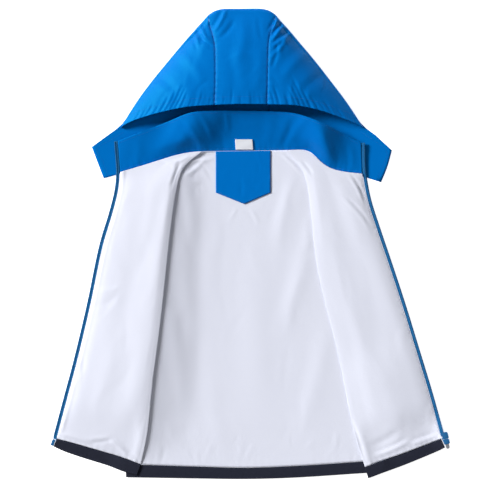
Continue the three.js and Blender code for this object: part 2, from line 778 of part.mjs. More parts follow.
function addPatch() {
  const { left, right, headLeft, headRight, sideFoot, tipX, tip } = patch;
  const tipShare = (tipX - left) / (right - left);
  const columns = [...steps(3).map((s) => s * tipShare), ...steps(3).slice(1).map((s) => mix(tipShare, 1, s))];
  const under = makeGrid(steps(5), columns, (u, v) => {
    const fromTip = u < tipShare ? 1 - u / tipShare : (u - tipShare) / (1 - tipShare);
    const x = mix(left, right, u);
    const y = mix(mix(headLeft, headRight, u), mix(tip, sideFoot, fromTip), v);
    return point(x, y, backHeight(x, y, 0.5) + PATCH_GAP);
  });
  addPiece('neck_patch', sheet(lift(under, TRIM), under), shellBlue);
}

// Gathers of the elastic front edge: a ridge and a trough each, fading out up the hood
function gather(across, count, t) {
  const uneven = 1 - GATHER_UNEVEN + GATHER_UNEVEN * Math.sin(across * GATHER_BEAT + count);
  return -GATHER_HIGH * uneven * (1 - ease(0, GATHER_REACH, t)) * Math.cos(across * count * 2 * Math.PI);
}

function hoodTop(x, y, t) {
  const folds = foldHeight(hoodFolds, x, y) * ease(0, 0.06, 1 - t);
  return tableValue(hoodRise, 'high', t) + Math.max(0, folds);
}

// Half the thickness of a rolled fold at a distance in from its edge
function rolled(distance, reach, radius) {
  return radius * Math.sqrt(1 - Math.pow(1 - Math.min(1, distance / reach), 2));
}

// A hood side: columns run from the top seam over the side fold and back to the rear seam
function addHoodSide(side, lines, sign) {
  const { mouth, topSeam, sideFold, backSeam, chinAndNeck } = lines;
  const crownEnd = sideFold(1);
  const upper = { top: mouth, foot: (u) => topSeam(1).lerp(crownEnd, u), start: topSeam, end: sideFold };
  const lower = {
    top: (u) => backSeam(0).lerp(sideFold(0), u),
    foot: (u) => backSeam(1).lerp(crownEnd, u),
    start: backSeam,
    end: sideFold,
  };
  const rollShareAt = (t, reach) => Math.min(0.5, reach / topSeam(t).distanceTo(sideFold(t)));
  const mouthShare = 1 - rollShareAt(0, SIDE_REACH);
  const chinEdge = cornered(chinAndNeck.map((row, i) => (
    i === 0 ? row : { ...row, share: 1 - (1 - row.share) * mouthShare })));
  const middle = hoodRows.map((t) => {
    const nearCrown = ease(0.6, 1, t);
    const radius = mix(SIDE_ROLL, CROWN_ROLL, nearCrown);
    const reach = mix(SIDE_REACH, CROWN_REACH, nearCrown);
    const length = topSeam(t).distanceTo(sideFold(t));
    const rollShare = rollShareAt(t, reach);
    const seamGap = (p, share) => {
      p.x += (sign * mix(HOOD_SEAM_GAP, CROWN_SEAM_GAP, nearCrown) * (1 - share)) / 2;
      return p;
    };
    const overRow = steps(SIDE_GATHERS * COLUMNS_A_GATHER).map((w) => {
      const share = w * (1 - rollShare);
      const p = panelPoint(upper, share, t);
      const arch = (hoodTop(p.x, p.y, t) - MIDDLE_FLOOR - 2 * radius) * (1 - Math.pow(w, ARCH));
      const waves = gather(w, SIDE_GATHERS, t) * Math.min(1, 6 * (1 - w));
      p.z = MIDDLE_FLOOR + radius + rolled((1 - share) * length, reach, radius) + arch + waves;
      return seamGap(p, share);
    });
    const foldRow = [0.45, 0.12, 0, -0.12, -0.45].map((turn) => {
      const share = 1 - Math.abs(turn) * rollShare;
      const p = panelPoint(turn < 0 ? lower : upper, share, t);
      p.z = MIDDLE_FLOOR + radius + Math.sign(turn) * rolled((1 - share) * length, reach, radius);
      return seamGap(p, share);
    });
    const underRow = underColumns.map((w) => {
      const share = w * (1 - rollShare);
      const p = panelPoint(lower, share, t);
      const toEdge = chinEdge(1 - share).sub(lower.top(share));
      p.addScaledVector(toEdge, Math.pow(1 - t, CHIN_FADE));
      p.z = MIDDLE_FLOOR + radius - rolled((1 - share) * length, reach, radius);
      return seamGap(p, share);
    });
    return [...overRow, ...foldRow, ...underRow];
  });
  addPiece(`hood_side_${side}`, thickened(middle, SHELL), shellBlue);
}

// Middle strip of the hood: from the front edge over the crown and down to the neck seam
function addHoodCenter(seams) {
  const columns = steps(CENTER_GATHERS * COLUMNS_A_GATHER);
  const crownFold = line(crownLine);
  const crownStart = (u) => crownFold(u).add(point(mix(1, -1, u), -CROWN_REACH));
  const upper = { top: line(mouthCenter), foot: crownStart, start: seams.topLeft, end: seams.topRight };
  const lower = {
    top: (u) => seams.backLeft(0).lerp(seams.backRight(0), u),
    foot: crownStart,
    start: seams.backLeft,
    end: seams.backRight,
  };
  const placed = (p, u, z) => point(p.x + mix(HOOD_SEAM_GAP, -HOOD_SEAM_GAP, u) / 2, p.y, z);
  const overRows = makeGrid(hoodRows, columns, (u, t) => {
    const p = panelPoint(upper, u, t);
    const bulge = CENTER_BULGE * (1 - Math.pow(2 * u - 1, 2)) * (1 - t);
    return placed(p, u, hoodTop(p.x, p.y, t) + bulge + gather(u, CENTER_GATHERS, t));
  });
  const foldRows = makeGrid([0.45, 0.12, 0, -0.12, -0.45], columns, (u, turn) => {
    const p = crownFold(u).lerp(crownStart(u), Math.abs(turn));
    const half = rolled(Math.abs(turn) * CROWN_REACH, CROWN_REACH, CROWN_ROLL);
    return placed(p, u, MIDDLE_FLOOR + CROWN_ROLL + Math.sign(turn) * half);
  });
  const underRows = makeGrid([1, 0.94, 0.75, 0.5, 0.25, 0], columns, (u, t) => {
    return placed(panelPoint(lower, u, t), u, MIDDLE_FLOOR);
  });
  addPiece('hood_center', thickened([...overRows, ...foldRows, ...underRows], SHELL), shellBlue);
}

function addHood() {
  const seams = {
    topLeft: line(topSeamLeft),
    topRight: line(topSeamRight),
    backLeft: line(backSeamLeft),
    backRight: line(backSeamRight),
  };
  addHoodCenter(seams);
  addHoodSide('left', {
    mouth: line(mouthLeft),
    topSeam: seams.topLeft,
    sideFold: line(sideFoldLeft),
    backSeam: seams.backLeft,
    chinAndNeck: chinAndNeckLeft,
  }, -1);
  addHoodSide('right', {
    mouth: line(mouthRight),
    topSeam: seams.topRight,
    sideFold: line(sideFoldRight),
    backSeam: seams.backRight,
    chinAndNeck: chinAndNeckRight,
  }, 1);
}

// Zip tapes along both front edges and up the collar's ends; outward is away from the front
function addTape(side, collarEnd, zipEdge, outward, endShare, cornerLift) {
  const edge = line([collarEnd, zipEdge[0]], zipEdge);
  const under = steps(36).map((v) => {
    const share = v * endShare;
    const p = edge(share);
    const ahead = edge(share + 0.01).sub(edge(Math.max(0, share - 0.01))).normalize();
    const across = point(ahead.y, -ahead.x).multiplyScalar(outward);
    const z = tableValue(tapeRise, 'high', -p.y) + cornerLift * ease(0.93, 0.967, share);
    return [0, 0.5, 1].map((w) => p.clone().addScaledVector(across, TAPE_GAP + w * TAPE_WIDE).setZ(z));
  });
  addPiece(`zip_tape_${side}`, sheet(lift(under, TAPE_THICK), under), tapeBlue);
}

// A flat plate with rounded corners, standing on its lower face
function plate(width, long, thick) {
  const x = width / 2;
  const y = long / 2;
  const round = Math.min(x, y) * 0.5;
  const outline = new THREE.Shape();
  outline.moveTo(-x + round, -y);
  outline.lineTo(x - round, -y);
  outline.quadraticCurveTo(x, -y, x, -y + round);
  outline.lineTo(x, y - round);
  outline.quadraticCurveTo(x, y, x - round, y);
  outline.lineTo(-x + round, y);
  outline.quadraticCurveTo(-x, y, -x, y - round);
  outline.lineTo(-x, -y + round);
  outline.quadraticCurveTo(-x, -y, -x + round, -y);
  return new THREE.ExtrudeGeometry(outline, { depth: thick, bevelEnabled: false, curveSegments: 4 });
}

function block(width, long, high, x, y, z) {
  return new THREE.BoxGeometry(width, long, high).translate(x, y, z + high / 2);
}

const wasm = await Module();
wasm.setup();

function toSolid(geometry) {
  const bare = geometry.clone();
  bare.deleteAttribute('normal');
  bare.deleteAttribute('uv');
  const merged = mergeVertices(bare);
  return new wasm.Manifold(new wasm.Mesh({
    numProp: 3,
    vertProperties: new Float32Array(merged.attributes.position.array),
    triVerts: new Uint32Array(merged.index.array),
  }));
}

function joinedGeometry(parts) {
  const joined = parts.map(toSolid).reduce((sum, part) => sum.add(part));
  const mesh = joined.getMesh();
  const geometry = new THREE.BufferGeometry();
  geometry.setAttribute('position', new THREE.BufferAttribute(mesh.vertProperties, 3));
  geometry.setIndex(new THREE.BufferAttribute(mesh.triVerts, 1));
  geometry.computeVertexNormals();
  return geometry;
}

// Slider: two plates round the zip's edge, open towards the garment, with a bow under the lower one
function sliderGeometry() {
  const upperPlate = SLIDER_FLOOR + PLATE + CHANNEL;
  const sideWall = SLIDER_WIDE / 2 - SLIDER_WALL / 2;
  const intoPlate = PLATE / 2;
  return joinedGeometry([
    plate(SLIDER_WIDE, SLIDER_LONG, PLATE).translate(0, 0, SLIDER_FLOOR),
    plate(SLIDER_WIDE, SLIDER_LONG, PLATE).translate(0, 0, upperPlate),
    block(SLIDER_WALL, SLIDER_LONG * 0.7, CHANNEL + PLATE, sideWall, 0, SLIDER_FLOOR + intoPlate),
    block(BOW_WIDE, BOW_POST, SLIDER_FLOOR + intoPlate, 0, -BOW_LONG / 2, 0),
    block(BOW_WIDE, BOW_POST, SLIDER_FLOOR + intoPlate, 0, BOW_LONG / 2, 0),
    block(BOW_WIDE, BOW_LONG, BOW_THICK, 0, 0, 0),
  ]);
}

// Pull tab: a frame whose end bar turns inside the slider's bow
function pullGeometry() {
  const bar = PULL_THICK / 2;
  const side = PULL_WIDE / 2;
  const neckEnd = PULL_SLOT_END - 0.8;
  const shoulder = PULL_SLOT_END - PULL_SHOULDER;
  const outline = new THREE.Shape();
  outline.moveTo(-PULL_NECK, bar);
  outline.lineTo(PULL_NECK, bar);
  outline.lineTo(PULL_NECK, neckEnd);
  outline.lineTo(side, shoulder);
  outline.lineTo(side, PULL_SHOULDER - PULL_LONG);
  outline.quadraticCurveTo(side, -PULL_LONG, 0, -PULL_LONG);
  outline.quadraticCurveTo(-side, -PULL_LONG, -side, PULL_SHOULDER - PULL_LONG);
  outline.lineTo(-side, shoulder);
  outline.lineTo(-PULL_NECK, neckEnd);
  outline.closePath();
  const slotSide = PULL_NECK - PULL_RIM;
  const slot = new THREE.Path();
  slot.moveTo(-slotSide, -bar);
  slot.lineTo(-slotSide, PULL_SLOT_END);
  slot.lineTo(slotSide, PULL_SLOT_END);
  slot.lineTo(slotSide, -bar);
  slot.closePath();
  outline.holes.push(slot);
  const geometry = new THREE.ExtrudeGeometry(outline, { depth: PULL_THICK, bevelEnabled: false, curveSegments: 5 });
  return geometry.translate(0, HINGE.y, HINGE.z - bar);
}

// The group leans with the zip: its own +Y points up the zip, and z 0 is the surface
function addZipEnds() {
  const slider = new THREE.Group();
  slider.position.set(SLIDER_PLACE.x, SLIDER_PLACE.y, 0);
  slider.rotation.z = ZIP_LEAN;
  raincoat.add(slider);
  addPiece('zip_slider', sliderGeometry(), zipPlastic, slider);
  addPiece('zip_pull', pullGeometry(), pullMetal, slider);
  const retainer = plate(SLIDER_WIDE - 0.6, RETAINER_LONG, RETAINER_THICK);
  retainer.translate(0, -SLIDER_LONG / 2 - SEAM - RETAINER_LONG / 2, SLIDER_FLOOR + 0.6);
  addPiece('zip_retainer', retainer, zipPlastic, slider);
  const pin = addPiece('zip_pin', plate(PIN_WIDE, PIN_LONG, PIN_THICK), zipPlastic);
  pin.position.set(PIN_PLACE.x, PIN_PLACE.y, 0);
  pin.rotation.z = -PIN_LEAN;
}

addBack();
addFronts();
addBands();
addSleeve('left', sleeveLeftRows);
addSleeve('right', sleeveRightRows);
addHood();
addCollar();
addPatch();
addLabel();
addTape('left', collarEdge[0], zipLeft, 1, TAPE_END_LEFT, 0);
addTape('right', collarEdge[collarEdge.length - 1], zipRight, -1, TAPE_END_RIGHT, CORNER_LIFT);
addZipEnds();

// The origin is the middle of the footprint, on the surface
const footprint = new THREE.Box3().setFromObject(raincoat);
raincoat.position.x = -(footprint.min.x + footprint.max.x) / 2;
raincoat.position.y = -(footprint.min.y + footprint.max.y) / 2;

export default raincoat;
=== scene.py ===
"""Looks of a kids' hooded zip raincoat, opened and laid flat on its back with the lining up.

The cloth pieces are fine shells on the form of their solids, with creases given in real sizes.
Lengths in the tables are millimetres, seen from above: x to the right, y from the hem to the hood, z up.
"""

import logging
import math
from collections.abc import Callable, Sequence
from dataclasses import dataclass, field
from enum import Enum

import bmesh
import bpy
import numpy as np
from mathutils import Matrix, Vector
from mathutils.bvhtree import BVHTree


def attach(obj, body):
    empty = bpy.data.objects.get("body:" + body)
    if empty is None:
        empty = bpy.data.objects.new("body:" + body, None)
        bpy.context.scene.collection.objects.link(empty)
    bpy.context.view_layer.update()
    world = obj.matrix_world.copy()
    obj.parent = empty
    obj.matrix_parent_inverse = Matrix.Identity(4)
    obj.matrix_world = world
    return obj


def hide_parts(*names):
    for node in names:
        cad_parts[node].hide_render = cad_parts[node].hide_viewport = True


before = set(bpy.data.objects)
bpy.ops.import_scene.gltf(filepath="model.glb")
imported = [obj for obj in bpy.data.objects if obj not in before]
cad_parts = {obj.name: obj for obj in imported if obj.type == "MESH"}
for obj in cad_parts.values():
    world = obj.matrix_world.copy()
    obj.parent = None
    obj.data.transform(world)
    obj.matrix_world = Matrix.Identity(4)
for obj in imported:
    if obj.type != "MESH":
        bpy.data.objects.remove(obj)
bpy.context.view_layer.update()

LOG = logging.getLogger("raincoat")
MM = 0.001
GARMENT = "garment"
PULL = "pull"
# Height above the whole coat, from which its surface is looked for
OVER_ALL = 100.0

Points = tuple[tuple[float, float], ...]


class Weave(Enum):
    """How a cloth's threads lie."""

    PLAIN = "plain"
    KNIT = "knit"
    RIB = "rib"


class Slot(Enum):
    """Material slots of the record."""

    SHELL = "shell_blue"
    LINING = "lining_white"
    BAND = "hem_navy"
    LABEL = "label_white"
    TAPE = "zip_tape"
    PLASTIC = "zip_plastic"
    METAL = "pull_metal"


@dataclass(frozen=True)
class Crease:
    """One soft ridge (high > 0) or trough (high < 0) in a cloth.

    Attributes:
        x: Middle of the crease.
        y: Middle of the crease.
        turn: Direction in degrees from +X.
        long: Half length.
        wide: Half width.
        high: Height at the middle.
        bend: How far its ends curve aside.
        lip: Share of the height that rises again on its far side, which makes the edge crisper.
    """

    x: float
    y: float
    turn: float
    long: float
    wide: float
    high: float
    bend: float = 0.0
    lip: float = 0.0

    def height(self, x: np.ndarray, y: np.ndarray) -> np.ndarray:
        """Height that the crease adds at places in plan.

        Args:
            x: Places in millimetres.
            y: Places in millimetres.

        Returns:
            The heights in millimetres.
        """
        turn = math.radians(self.turn)
        dx, dy = x - self.x, y - self.y
        along = (dx * math.cos(turn) + dy * math.sin(turn)) / self.long
        across = (dy * math.cos(turn) - dx * math.sin(turn) - self.bend * (along**2 - 0.5)) / self.wide
        profile = np.exp(-(across**2)) - self.lip * np.exp(-((across - 1.7) ** 2))
        return self.high * profile * np.exp(-(along**4))


@dataclass(frozen=True)
class Crumple:
    """A field of small uneven creases, each of its own size, from one seed.

    Attributes:
        seed: Makes the same field each run.
        count: How many creases.
        left: Edge of the field.
        right: Edge of the field.
        foot: Edge of the field.
        head: Edge of the field.
        turn: Mean direction in degrees.
        spread: How far directions vary.
        long: Largest half length.
        wide: Largest half width.
        high: Largest height.
    """

    seed: int
    count: int
    left: float
    right: float
    foot: float
    head: float
    turn: float
    spread: float
    long: float
    wide: float
    high: float

    def creases(self) -> list[Crease]:
        """Creases of the field."""
        rng = np.random.default_rng(self.seed)
        found = []
        for _ in range(self.count):
            size = rng.uniform(0.35, 1.0)
            found.append(
                Crease(
                    x=rng.uniform(self.left, self.right),
                    y=rng.uniform(self.foot, self.head),
                    turn=self.turn + rng.normal(0.0, self.spread),
                    long=self.long * size * rng.uniform(0.7, 1.0),
                    wide=self.wide * rng.uniform(0.5, 1.0),
                    high=self.high * size * rng.choice((-1.0, 1.0)),
                    bend=rng.uniform(-0.6, 0.6) * self.wide,
                    lip=rng.uniform(0.0, 0.5),
                )
            )
        return found


def moved_line(line: Points, aside: float) -> np.ndarray:
    """Line parallel to another one.

    Args:
        line: Points in plan.
        aside: Distance to the left of the line's direction.

    Returns:
        The moved points, one row each.
    """
    places = np.array(line, float)
    ahead = np.gradient(places, axis=0)
    ahead /= np.linalg.norm(ahead, axis=1)[:, None]
    return places + aside * np.stack([-ahead[:, 1], ahead[:, 0]], axis=1)


def smooth_line(line: Points | np.ndarray, pitch: float) -> np.ndarray:
    """Evenly spaced points on a smooth curve through the given ones.

    Args:
        line: Points in plan.
        pitch: Distance between the new points.

    Returns:
        The new points, one row each.
    """
    given = np.array(line, float)
    padded = np.vstack([2 * given[0] - given[1], given, 2 * given[-1] - given[-2]])
    dense = []
    for a, b, c, d in zip(padded, padded[1:], padded[2:], padded[3:]):
        for t in np.linspace(0, 1, 24, endpoint=False):
            squared = (2 * a - 5 * b + 4 * c - d) * t**2
            cubed = (3 * (b - c) + d - a) * t**3
            dense.append(0.5 * (2 * b + (c - a) * t + squared + cubed))
    dense.append(given[-1])
    places = np.array(dense)
    run = np.concatenate([[0], np.cumsum(np.linalg.norm(np.diff(places, axis=0), axis=1))])
    even = np.arange(0, run[-1], pitch)
    return np.stack([np.interp(even, run, places[:, k]) for k in range(2)], axis=1)


def near_line(x: np.ndarray, y: np.ndarray, line: np.ndarray) -> tuple[np.ndarray, np.ndarray]:
    """Distance to a line, and how far along it the nearest point is.

    Args:
        x: Places in plan.
        y: Places in plan.
        line: Points of the line, one row each.

    Returns:
        Distances and runs, in the line's units.
    """
    run = np.concatenate([[0], np.cumsum(np.linalg.norm(np.diff(line, axis=0), axis=1))])
    best = np.full(x.shape, np.inf)
    place = np.zeros(x.shape)
    for i in range(len(line) - 1):
        (ax, ay), (bx, by) = line[i], line[i + 1]
        long = max(math.hypot(bx - ax, by - ay), 1e-6)
        t = np.clip(((x - ax) * (bx - ax) + (y - ay) * (by - ay)) / long**2, 0, 1)
        gap = np.hypot(x - ax - t * (bx - ax), y - ay - t * (by - ay))
        closer = gap < best
        best[closer] = gap[closer]
        place[closer] = run[i] + t[closer] * long
    return best, place


# Lines in plan that stitches, teeth and puckers follow
MOUTH_LEFT: Points = (
    (-60.7, 241.5), (-106.7, 238.5), (-144.7, 231.5), (-183.7, 221.5), (-209.7, 212.5), (-225.7, 203.5),
)
MOUTH_CENTER: Points = ((-60.7, 241.5), (-14.7, 243), (30.3, 242.5))
MOUTH_RIGHT: Points = (
    (30.3, 242.5), (82.3, 240.5), (121.3, 232.5), (157.3, 220.5), (181.3, 211.5), (196.3, 204.5),
)
TOP_SEAM_LEFT: Points = ((-61.2, 241.5), (-60.2, 300.5), (-61.2, 346.5), (-65.2, 365.5), (-71.2, 383.5))
TOP_SEAM_RIGHT: Points = ((29.8, 242.5), (30.8, 300.5), (31.8, 346.5), (34.8, 368.5), (40.8, 383.5))
REAR_SEAM_LEFT: Points = ((-61.3, 164), (-63.3, 250.5), (-68.3, 340.5), (-71.8, 386))
REAR_SEAM_RIGHT: Points = ((29.7, 165), (32.7, 250.5), (38.7, 340.5), (42.2, 387))
NECK: Points = (
    (-227.2, 125.5), (-203.2, 132.5), (-173.2, 141.5), (-135.2, 153.5), (-103.2, 160.5), (-83.2, 161.5),
    (-14.7, 162.5), (62.8, 163.5), (99.8, 163.5), (112.8, 154.5), (126.8, 139.5), (140.8, 131.5),
    (160.8, 126.5), (195.8, 122.5),
)
COLLAR_EDGE: Points = (
    (-231.2, 179.5), (-208.2, 188.5), (-147.2, 211.5), (-103.2, 228.5), (-59.2, 231.5), (-14.2, 231.5),
    (40.8, 230.5), (76.8, 227.5), (125.8, 210.5), (165.8, 190.5), (193.8, 176.5),
)
ZIP_LEFT: Points = (
    (-231.2, 179.5), (-227.2, 125.5), (-230.2, 94.5), (-241.2, 50.5), (-257.2, -2.5), (-279.2, -107.5),
    (-304.2, -212.5), (-318.2, -264.5), (-338.2, -338.5),
)
ZIP_RIGHT: Points = (
    (193.8, 176.5), (195.8, 122.5), (204.8, 76.5), (221.3, 24.5), (239.3, -28.5), (265.3, -107.5),
    (289.3, -185.5), (313.3, -264.5), (333.8, -336.5),
)
HEM_LEFT: Points = ((-191.2, -385.5), (-219.2, -374.5), (-266.2, -360.5), (-315.2, -346.5), (-338.2, -340.5))
HEM_RIGHT: Points = ((200.8, -390.5), (219.8, -382.5), (263.8, -367.5), (300.8, -353.5), (333.8, -340.5))
HEM_BACK: Points = (
    (-218.2, -388.5), (-198.2, -386), (-88.2, -389.5), (-9.2, -391.5), (93.8, -387.5), (205.8, -380),
)
BAND_FOOT_LEFT: Points = (
    (-198.2, -404.5), (-221.2, -398.5), (-247.2, -388.5), (-289.2, -375.5), (-327.2, -362.5),
    (-344.2, -354.5),
)
BAND_FOOT_RIGHT: Points = (
    (206.3, -410.5), (226.8, -402.5), (265.8, -388.5), (302.8, -373.5), (331.8, -361), (340.8, -356),
)
BAND_FOOT_BACK: Points = ((-217.2, -408.5), (-98.2, -410.5), (-9.2, -411.5), (69.8, -409.5), (209.8, -400.5))
CREASE_LEFT: Points = (
    (-83.3, 161.5), (-118.3, 132.5), (-131.3, 81.5), (-141.3, 4.5), (-156.3, -135.5), (-170.3, -241.5),
    (-180.3, -336.5), (-191.3, -385.5),
)
CHIN_LEFT: Points = ((-225.7, 203), (-250.7, 188), (-276.7, 169), (-266.7, 142), (-256.2, 114.5))
CHIN_RIGHT: Points = ((196.8, 204), (218.8, 190), (247.8, 163.5), (240.8, 134.5), (228.8, 107.5))
PATCH_EDGE: Points = ((-60.2, 160), (-60.2, 89.5), (-10.2, 69.5), (35.8, 89.5), (35.8, 160))
LABEL_EDGE: Points = ((-25.2, 166), (5.3, 166))
TAPE_FOOT_LEFT: Points = (
    (-344.1, -337.8), (-345.1, -341.2), (-343.8, -341.0), (-340.9, -342.0), (-340.0, -343.1),
    (-340.0, -344.1), (-342.7, -351.4), (-342.9, -351.4), (-338.0, -340.5), (-338.2, -339.4),
)
TAPE_FOOT_RIGHT: Points = (
    (334.8, -339.9), (334.8, -340.1), (339.9, -351.4), (341.1, -351.1), (340.4, -350.8), (339.7, -350.1),
    (339.2, -348.9), (338.3, -344.6), (338.1, -343.6), (338.1, -342.7), (337.2, -341.6), (336.6, -339.9),
)


def add_group(
    name: str, inputs: dict[str, float | str], outputs: Sequence[tuple[str, str]]
) -> bpy.types.NodeTree:
    """New shader node group with named sockets.

    Args:
        name: Name of the group.
        inputs: Default of each input; the words "vector" and "color" stand for those kinds.
        outputs: Name and socket kind of each output.

    Returns:
        The group's tree, with its input and output nodes in it.
    """
    tree = bpy.data.node_groups.new(name, "ShaderNodeTree")
    kinds = {"vector": "NodeSocketVector", "color": "NodeSocketColor"}
    for title, value in inputs.items():
        kind = kinds[value] if isinstance(value, str) else "NodeSocketFloat"
        socket = tree.interface.new_socket(name=title, in_out="INPUT", socket_type=kind)
        if not isinstance(value, str):
            socket.default_value = value
    for title, kind in outputs:
        tree.interface.new_socket(name=title, in_out="OUTPUT", socket_type=kind)
    tree.nodes.new("NodeGroupInput").name = "in"
    tree.nodes.new("NodeGroupOutput").name = "out"
    return tree


def add_math(tree: bpy.types.NodeTree, operation: str, *values: object) -> bpy.types.NodeSocket:
    """Math node in a tree.

    Args:
        tree: Where it goes.
        operation: Blender's name of the operation.
        values: Its inputs, each a socket or a number.

    Returns:
        Its output socket.
    """
    node = tree.nodes.new("ShaderNodeMath")
    node.operation = operation
    for place, value in enumerate(values):
        if isinstance(value, bpy.types.NodeSocket):
            tree.links.new(value, node.inputs[place])
        else:
            node.inputs[place].default_value = value
    return node.outputs[0]


def add_noise(
    tree: bpy.types.NodeTree, vector: bpy.types.NodeSocket, scale: float, detail: float
) -> bpy.types.NodeSocket:
    """Noise texture read at a vector.

    Args:
        tree: Where it goes.
        vector: Place that it reads.
        scale: Repeats a metre.
        detail: Octaves.

    Returns:
        Its value from 0 to 1.
    """
    node = tree.nodes.new("ShaderNodeTexNoise")
    node.inputs["Scale"].default_value = scale
    node.inputs["Detail"].default_value = detail
    tree.links.new(vector, node.inputs["Vector"])
    return node.outputs[0]


def thread_group(weave: Weave) -> bpy.types.NodeTree:
    """Height of a cloth's threads, as a shared node group.

    Args:
        weave: Which threads.

    Returns:
        The group, with a place and a thread pitch in, and a height from 0 to 1 out.
    """
    name = f"threads_{weave.value}"
    if name in bpy.data.node_groups:
        return bpy.data.node_groups[name]
    tree = add_group(name, {"Place": "vector", "Pitch mm": 0.6}, [("Height", "NodeSocketFloat")])
    split = tree.nodes.new("ShaderNodeSeparateXYZ")
    tree.links.new(tree.nodes["in"].outputs["Place"], split.inputs[0])
    turn = add_math(tree, "DIVIDE", math.tau / MM, tree.nodes["in"].outputs["Pitch mm"])
    across = add_math(tree, "MULTIPLY", split.outputs[0], turn)
    along = add_math(tree, "MULTIPLY", split.outputs[1], turn)
    waves_x = add_math(tree, "SINE", across)
    waves_y = add_math(tree, "SINE", along)
    if weave is Weave.PLAIN:
        height = add_math(tree, "MULTIPLY", waves_x, waves_y)
    elif weave is Weave.KNIT:
        slanted = add_math(tree, "SINE", add_math(tree, "ADD", along, add_math(tree, "ABSOLUTE", waves_x)))
        height = add_math(tree, "MULTIPLY", slanted, add_math(tree, "ABSOLUTE", waves_x))
    else:
        height = add_math(tree, "ADD", waves_x, add_math(tree, "MULTIPLY", waves_y, 0.25))
    level = add_math(tree, "MULTIPLY_ADD", height, 0.5, 0.5)
    tree.links.new(level, tree.nodes["out"].inputs["Height"])
    return tree


def tone_group() -> bpy.types.NodeTree:
    """Slight unevenness of dyed cloth, with painted shade where its threads lie low, as a shared node group
    with a shade and a roughness out.
    """
    if "cloth_tone" in bpy.data.node_groups:
        return bpy.data.node_groups["cloth_tone"]
    tree = add_group(
        "cloth_tone",
        {"Place": "vector", "Base": "color", "Deep": "color", "Thread": 0.5, "Uneven": 0.3, "Rough": 0.6},
        [("Color", "NodeSocketColor"), ("Roughness", "NodeSocketFloat")],
    )
    sockets = tree.nodes["in"].outputs
    broad = add_noise(tree, sockets["Place"], 9.0, 2.0)
    fine = add_noise(tree, sockets["Place"], 260.0, 3.0)
    blotches = add_math(tree, "MULTIPLY_ADD", fine, 0.35, add_math(tree, "MULTIPLY", broad, 0.65))
    shade = add_math(tree, "MULTIPLY", blotches, sockets["Uneven"])
    # Painted shade: the low places between threads are mixed towards the deep colour.
    painted_thread_shade = add_math(tree, "MULTIPLY", add_math(tree, "SUBTRACT", 1.0, sockets["Thread"]), 0.35)
    mixer = tree.nodes.new("ShaderNodeMix")
    mixer.data_type = "RGBA"
    tree.links.new(add_math(tree, "ADD", shade, painted_thread_shade), mixer.inputs[0])
    tree.links.new(sockets["Base"], mixer.inputs[6])
    tree.links.new(sockets["Deep"], mixer.inputs[7])
    tree.links.new(mixer.outputs[2], tree.nodes["out"].inputs["Color"])
    rough = add_math(tree, "ADD", sockets["Rough"], add_math(tree, "MULTIPLY_ADD", fine, 0.16, -0.08))
    tree.links.new(rough, tree.nodes["out"].inputs["Roughness"])
    return tree


@dataclass(frozen=True)
class ClothFinish:
    """A woven or knitted cloth.

    Attributes:
        name: Name of the material.
        slot: Slot of the record that it shows; not used.
        base: Colour on top of the threads, linear.
        deep: Colour between the threads, painted there as shade, and of the cloth's random darker patches,
            linear.
        weave: How its threads lie.
        pitch: Distance between threads.
        relief: How far the threads stand out.
        rough: Mean roughness.
        sheen: Soft bright edge of the fibres.
        uneven: How far the tone varies.
        gloss: Strength of its reflections.
        shine: Tint of its reflections and sheen, linear.
    """

    name: str
    slot: Slot
    base: tuple[float, float, float]
    deep: tuple[float, float, float]
    weave: Weave
    pitch: float
    relief: float
    rough: float
    sheen: float = 0.0
    uneven: float = 0.25
    gloss: float = 0.25
    shine: tuple[float, float, float] = (1.0, 1.0, 1.0)

    def material(self) -> bpy.types.Material:
        """The finish's material, built once."""
        if self.name in bpy.data.materials:
            return bpy.data.materials[self.name]
        made = bpy.data.materials.new(self.name)
        made.use_nodes = True
        tree = made.node_tree
        shader = tree.nodes["Principled BSDF"]
        place = tree.nodes.new("ShaderNodeTexCoord").outputs["Object"]
        threads = tree.nodes.new("ShaderNodeGroup")
        threads.node_tree = thread_group(self.weave)
        threads.inputs["Pitch mm"].default_value = self.pitch
        tone = tree.nodes.new("ShaderNodeGroup")
        tone.node_tree = tone_group()
        tone.inputs["Base"].default_value = (*self.base, 1.0)
        tone.inputs["Deep"].default_value = (*self.deep, 1.0)
        tone.inputs["Uneven"].default_value = self.uneven
        tone.inputs["Rough"].default_value = self.rough
        bump = tree.nodes.new("ShaderNodeBump")
        bump.inputs["Distance"].default_value = self.relief * MM
        bump.inputs["Strength"].default_value = 0.6
        tree.links.new(place, threads.inputs["Place"])
        tree.links.new(place, tone.inputs["Place"])
        tree.links.new(threads.outputs["Height"], tone.inputs["Thread"])
        tree.links.new(threads.outputs["Height"], bump.inputs["Height"])
        tree.links.new(tone.outputs["Color"], shader.inputs["Base Color"])
        tree.links.new(tone.outputs["Roughness"], shader.inputs["Roughness"])
        tree.links.new(bump.outputs["Normal"], shader.inputs["Normal"])
        shader.inputs["Sheen Weight"].default_value = self.sheen
        shader.inputs["Sheen Roughness"].default_value = 0.5
        shader.inputs["Specular IOR Level"].default_value = self.gloss
        for tint in ("Sheen Tint", "Specular Tint"):
            shader.inputs[tint].default_value = (*self.shine, 1.0)
        return made


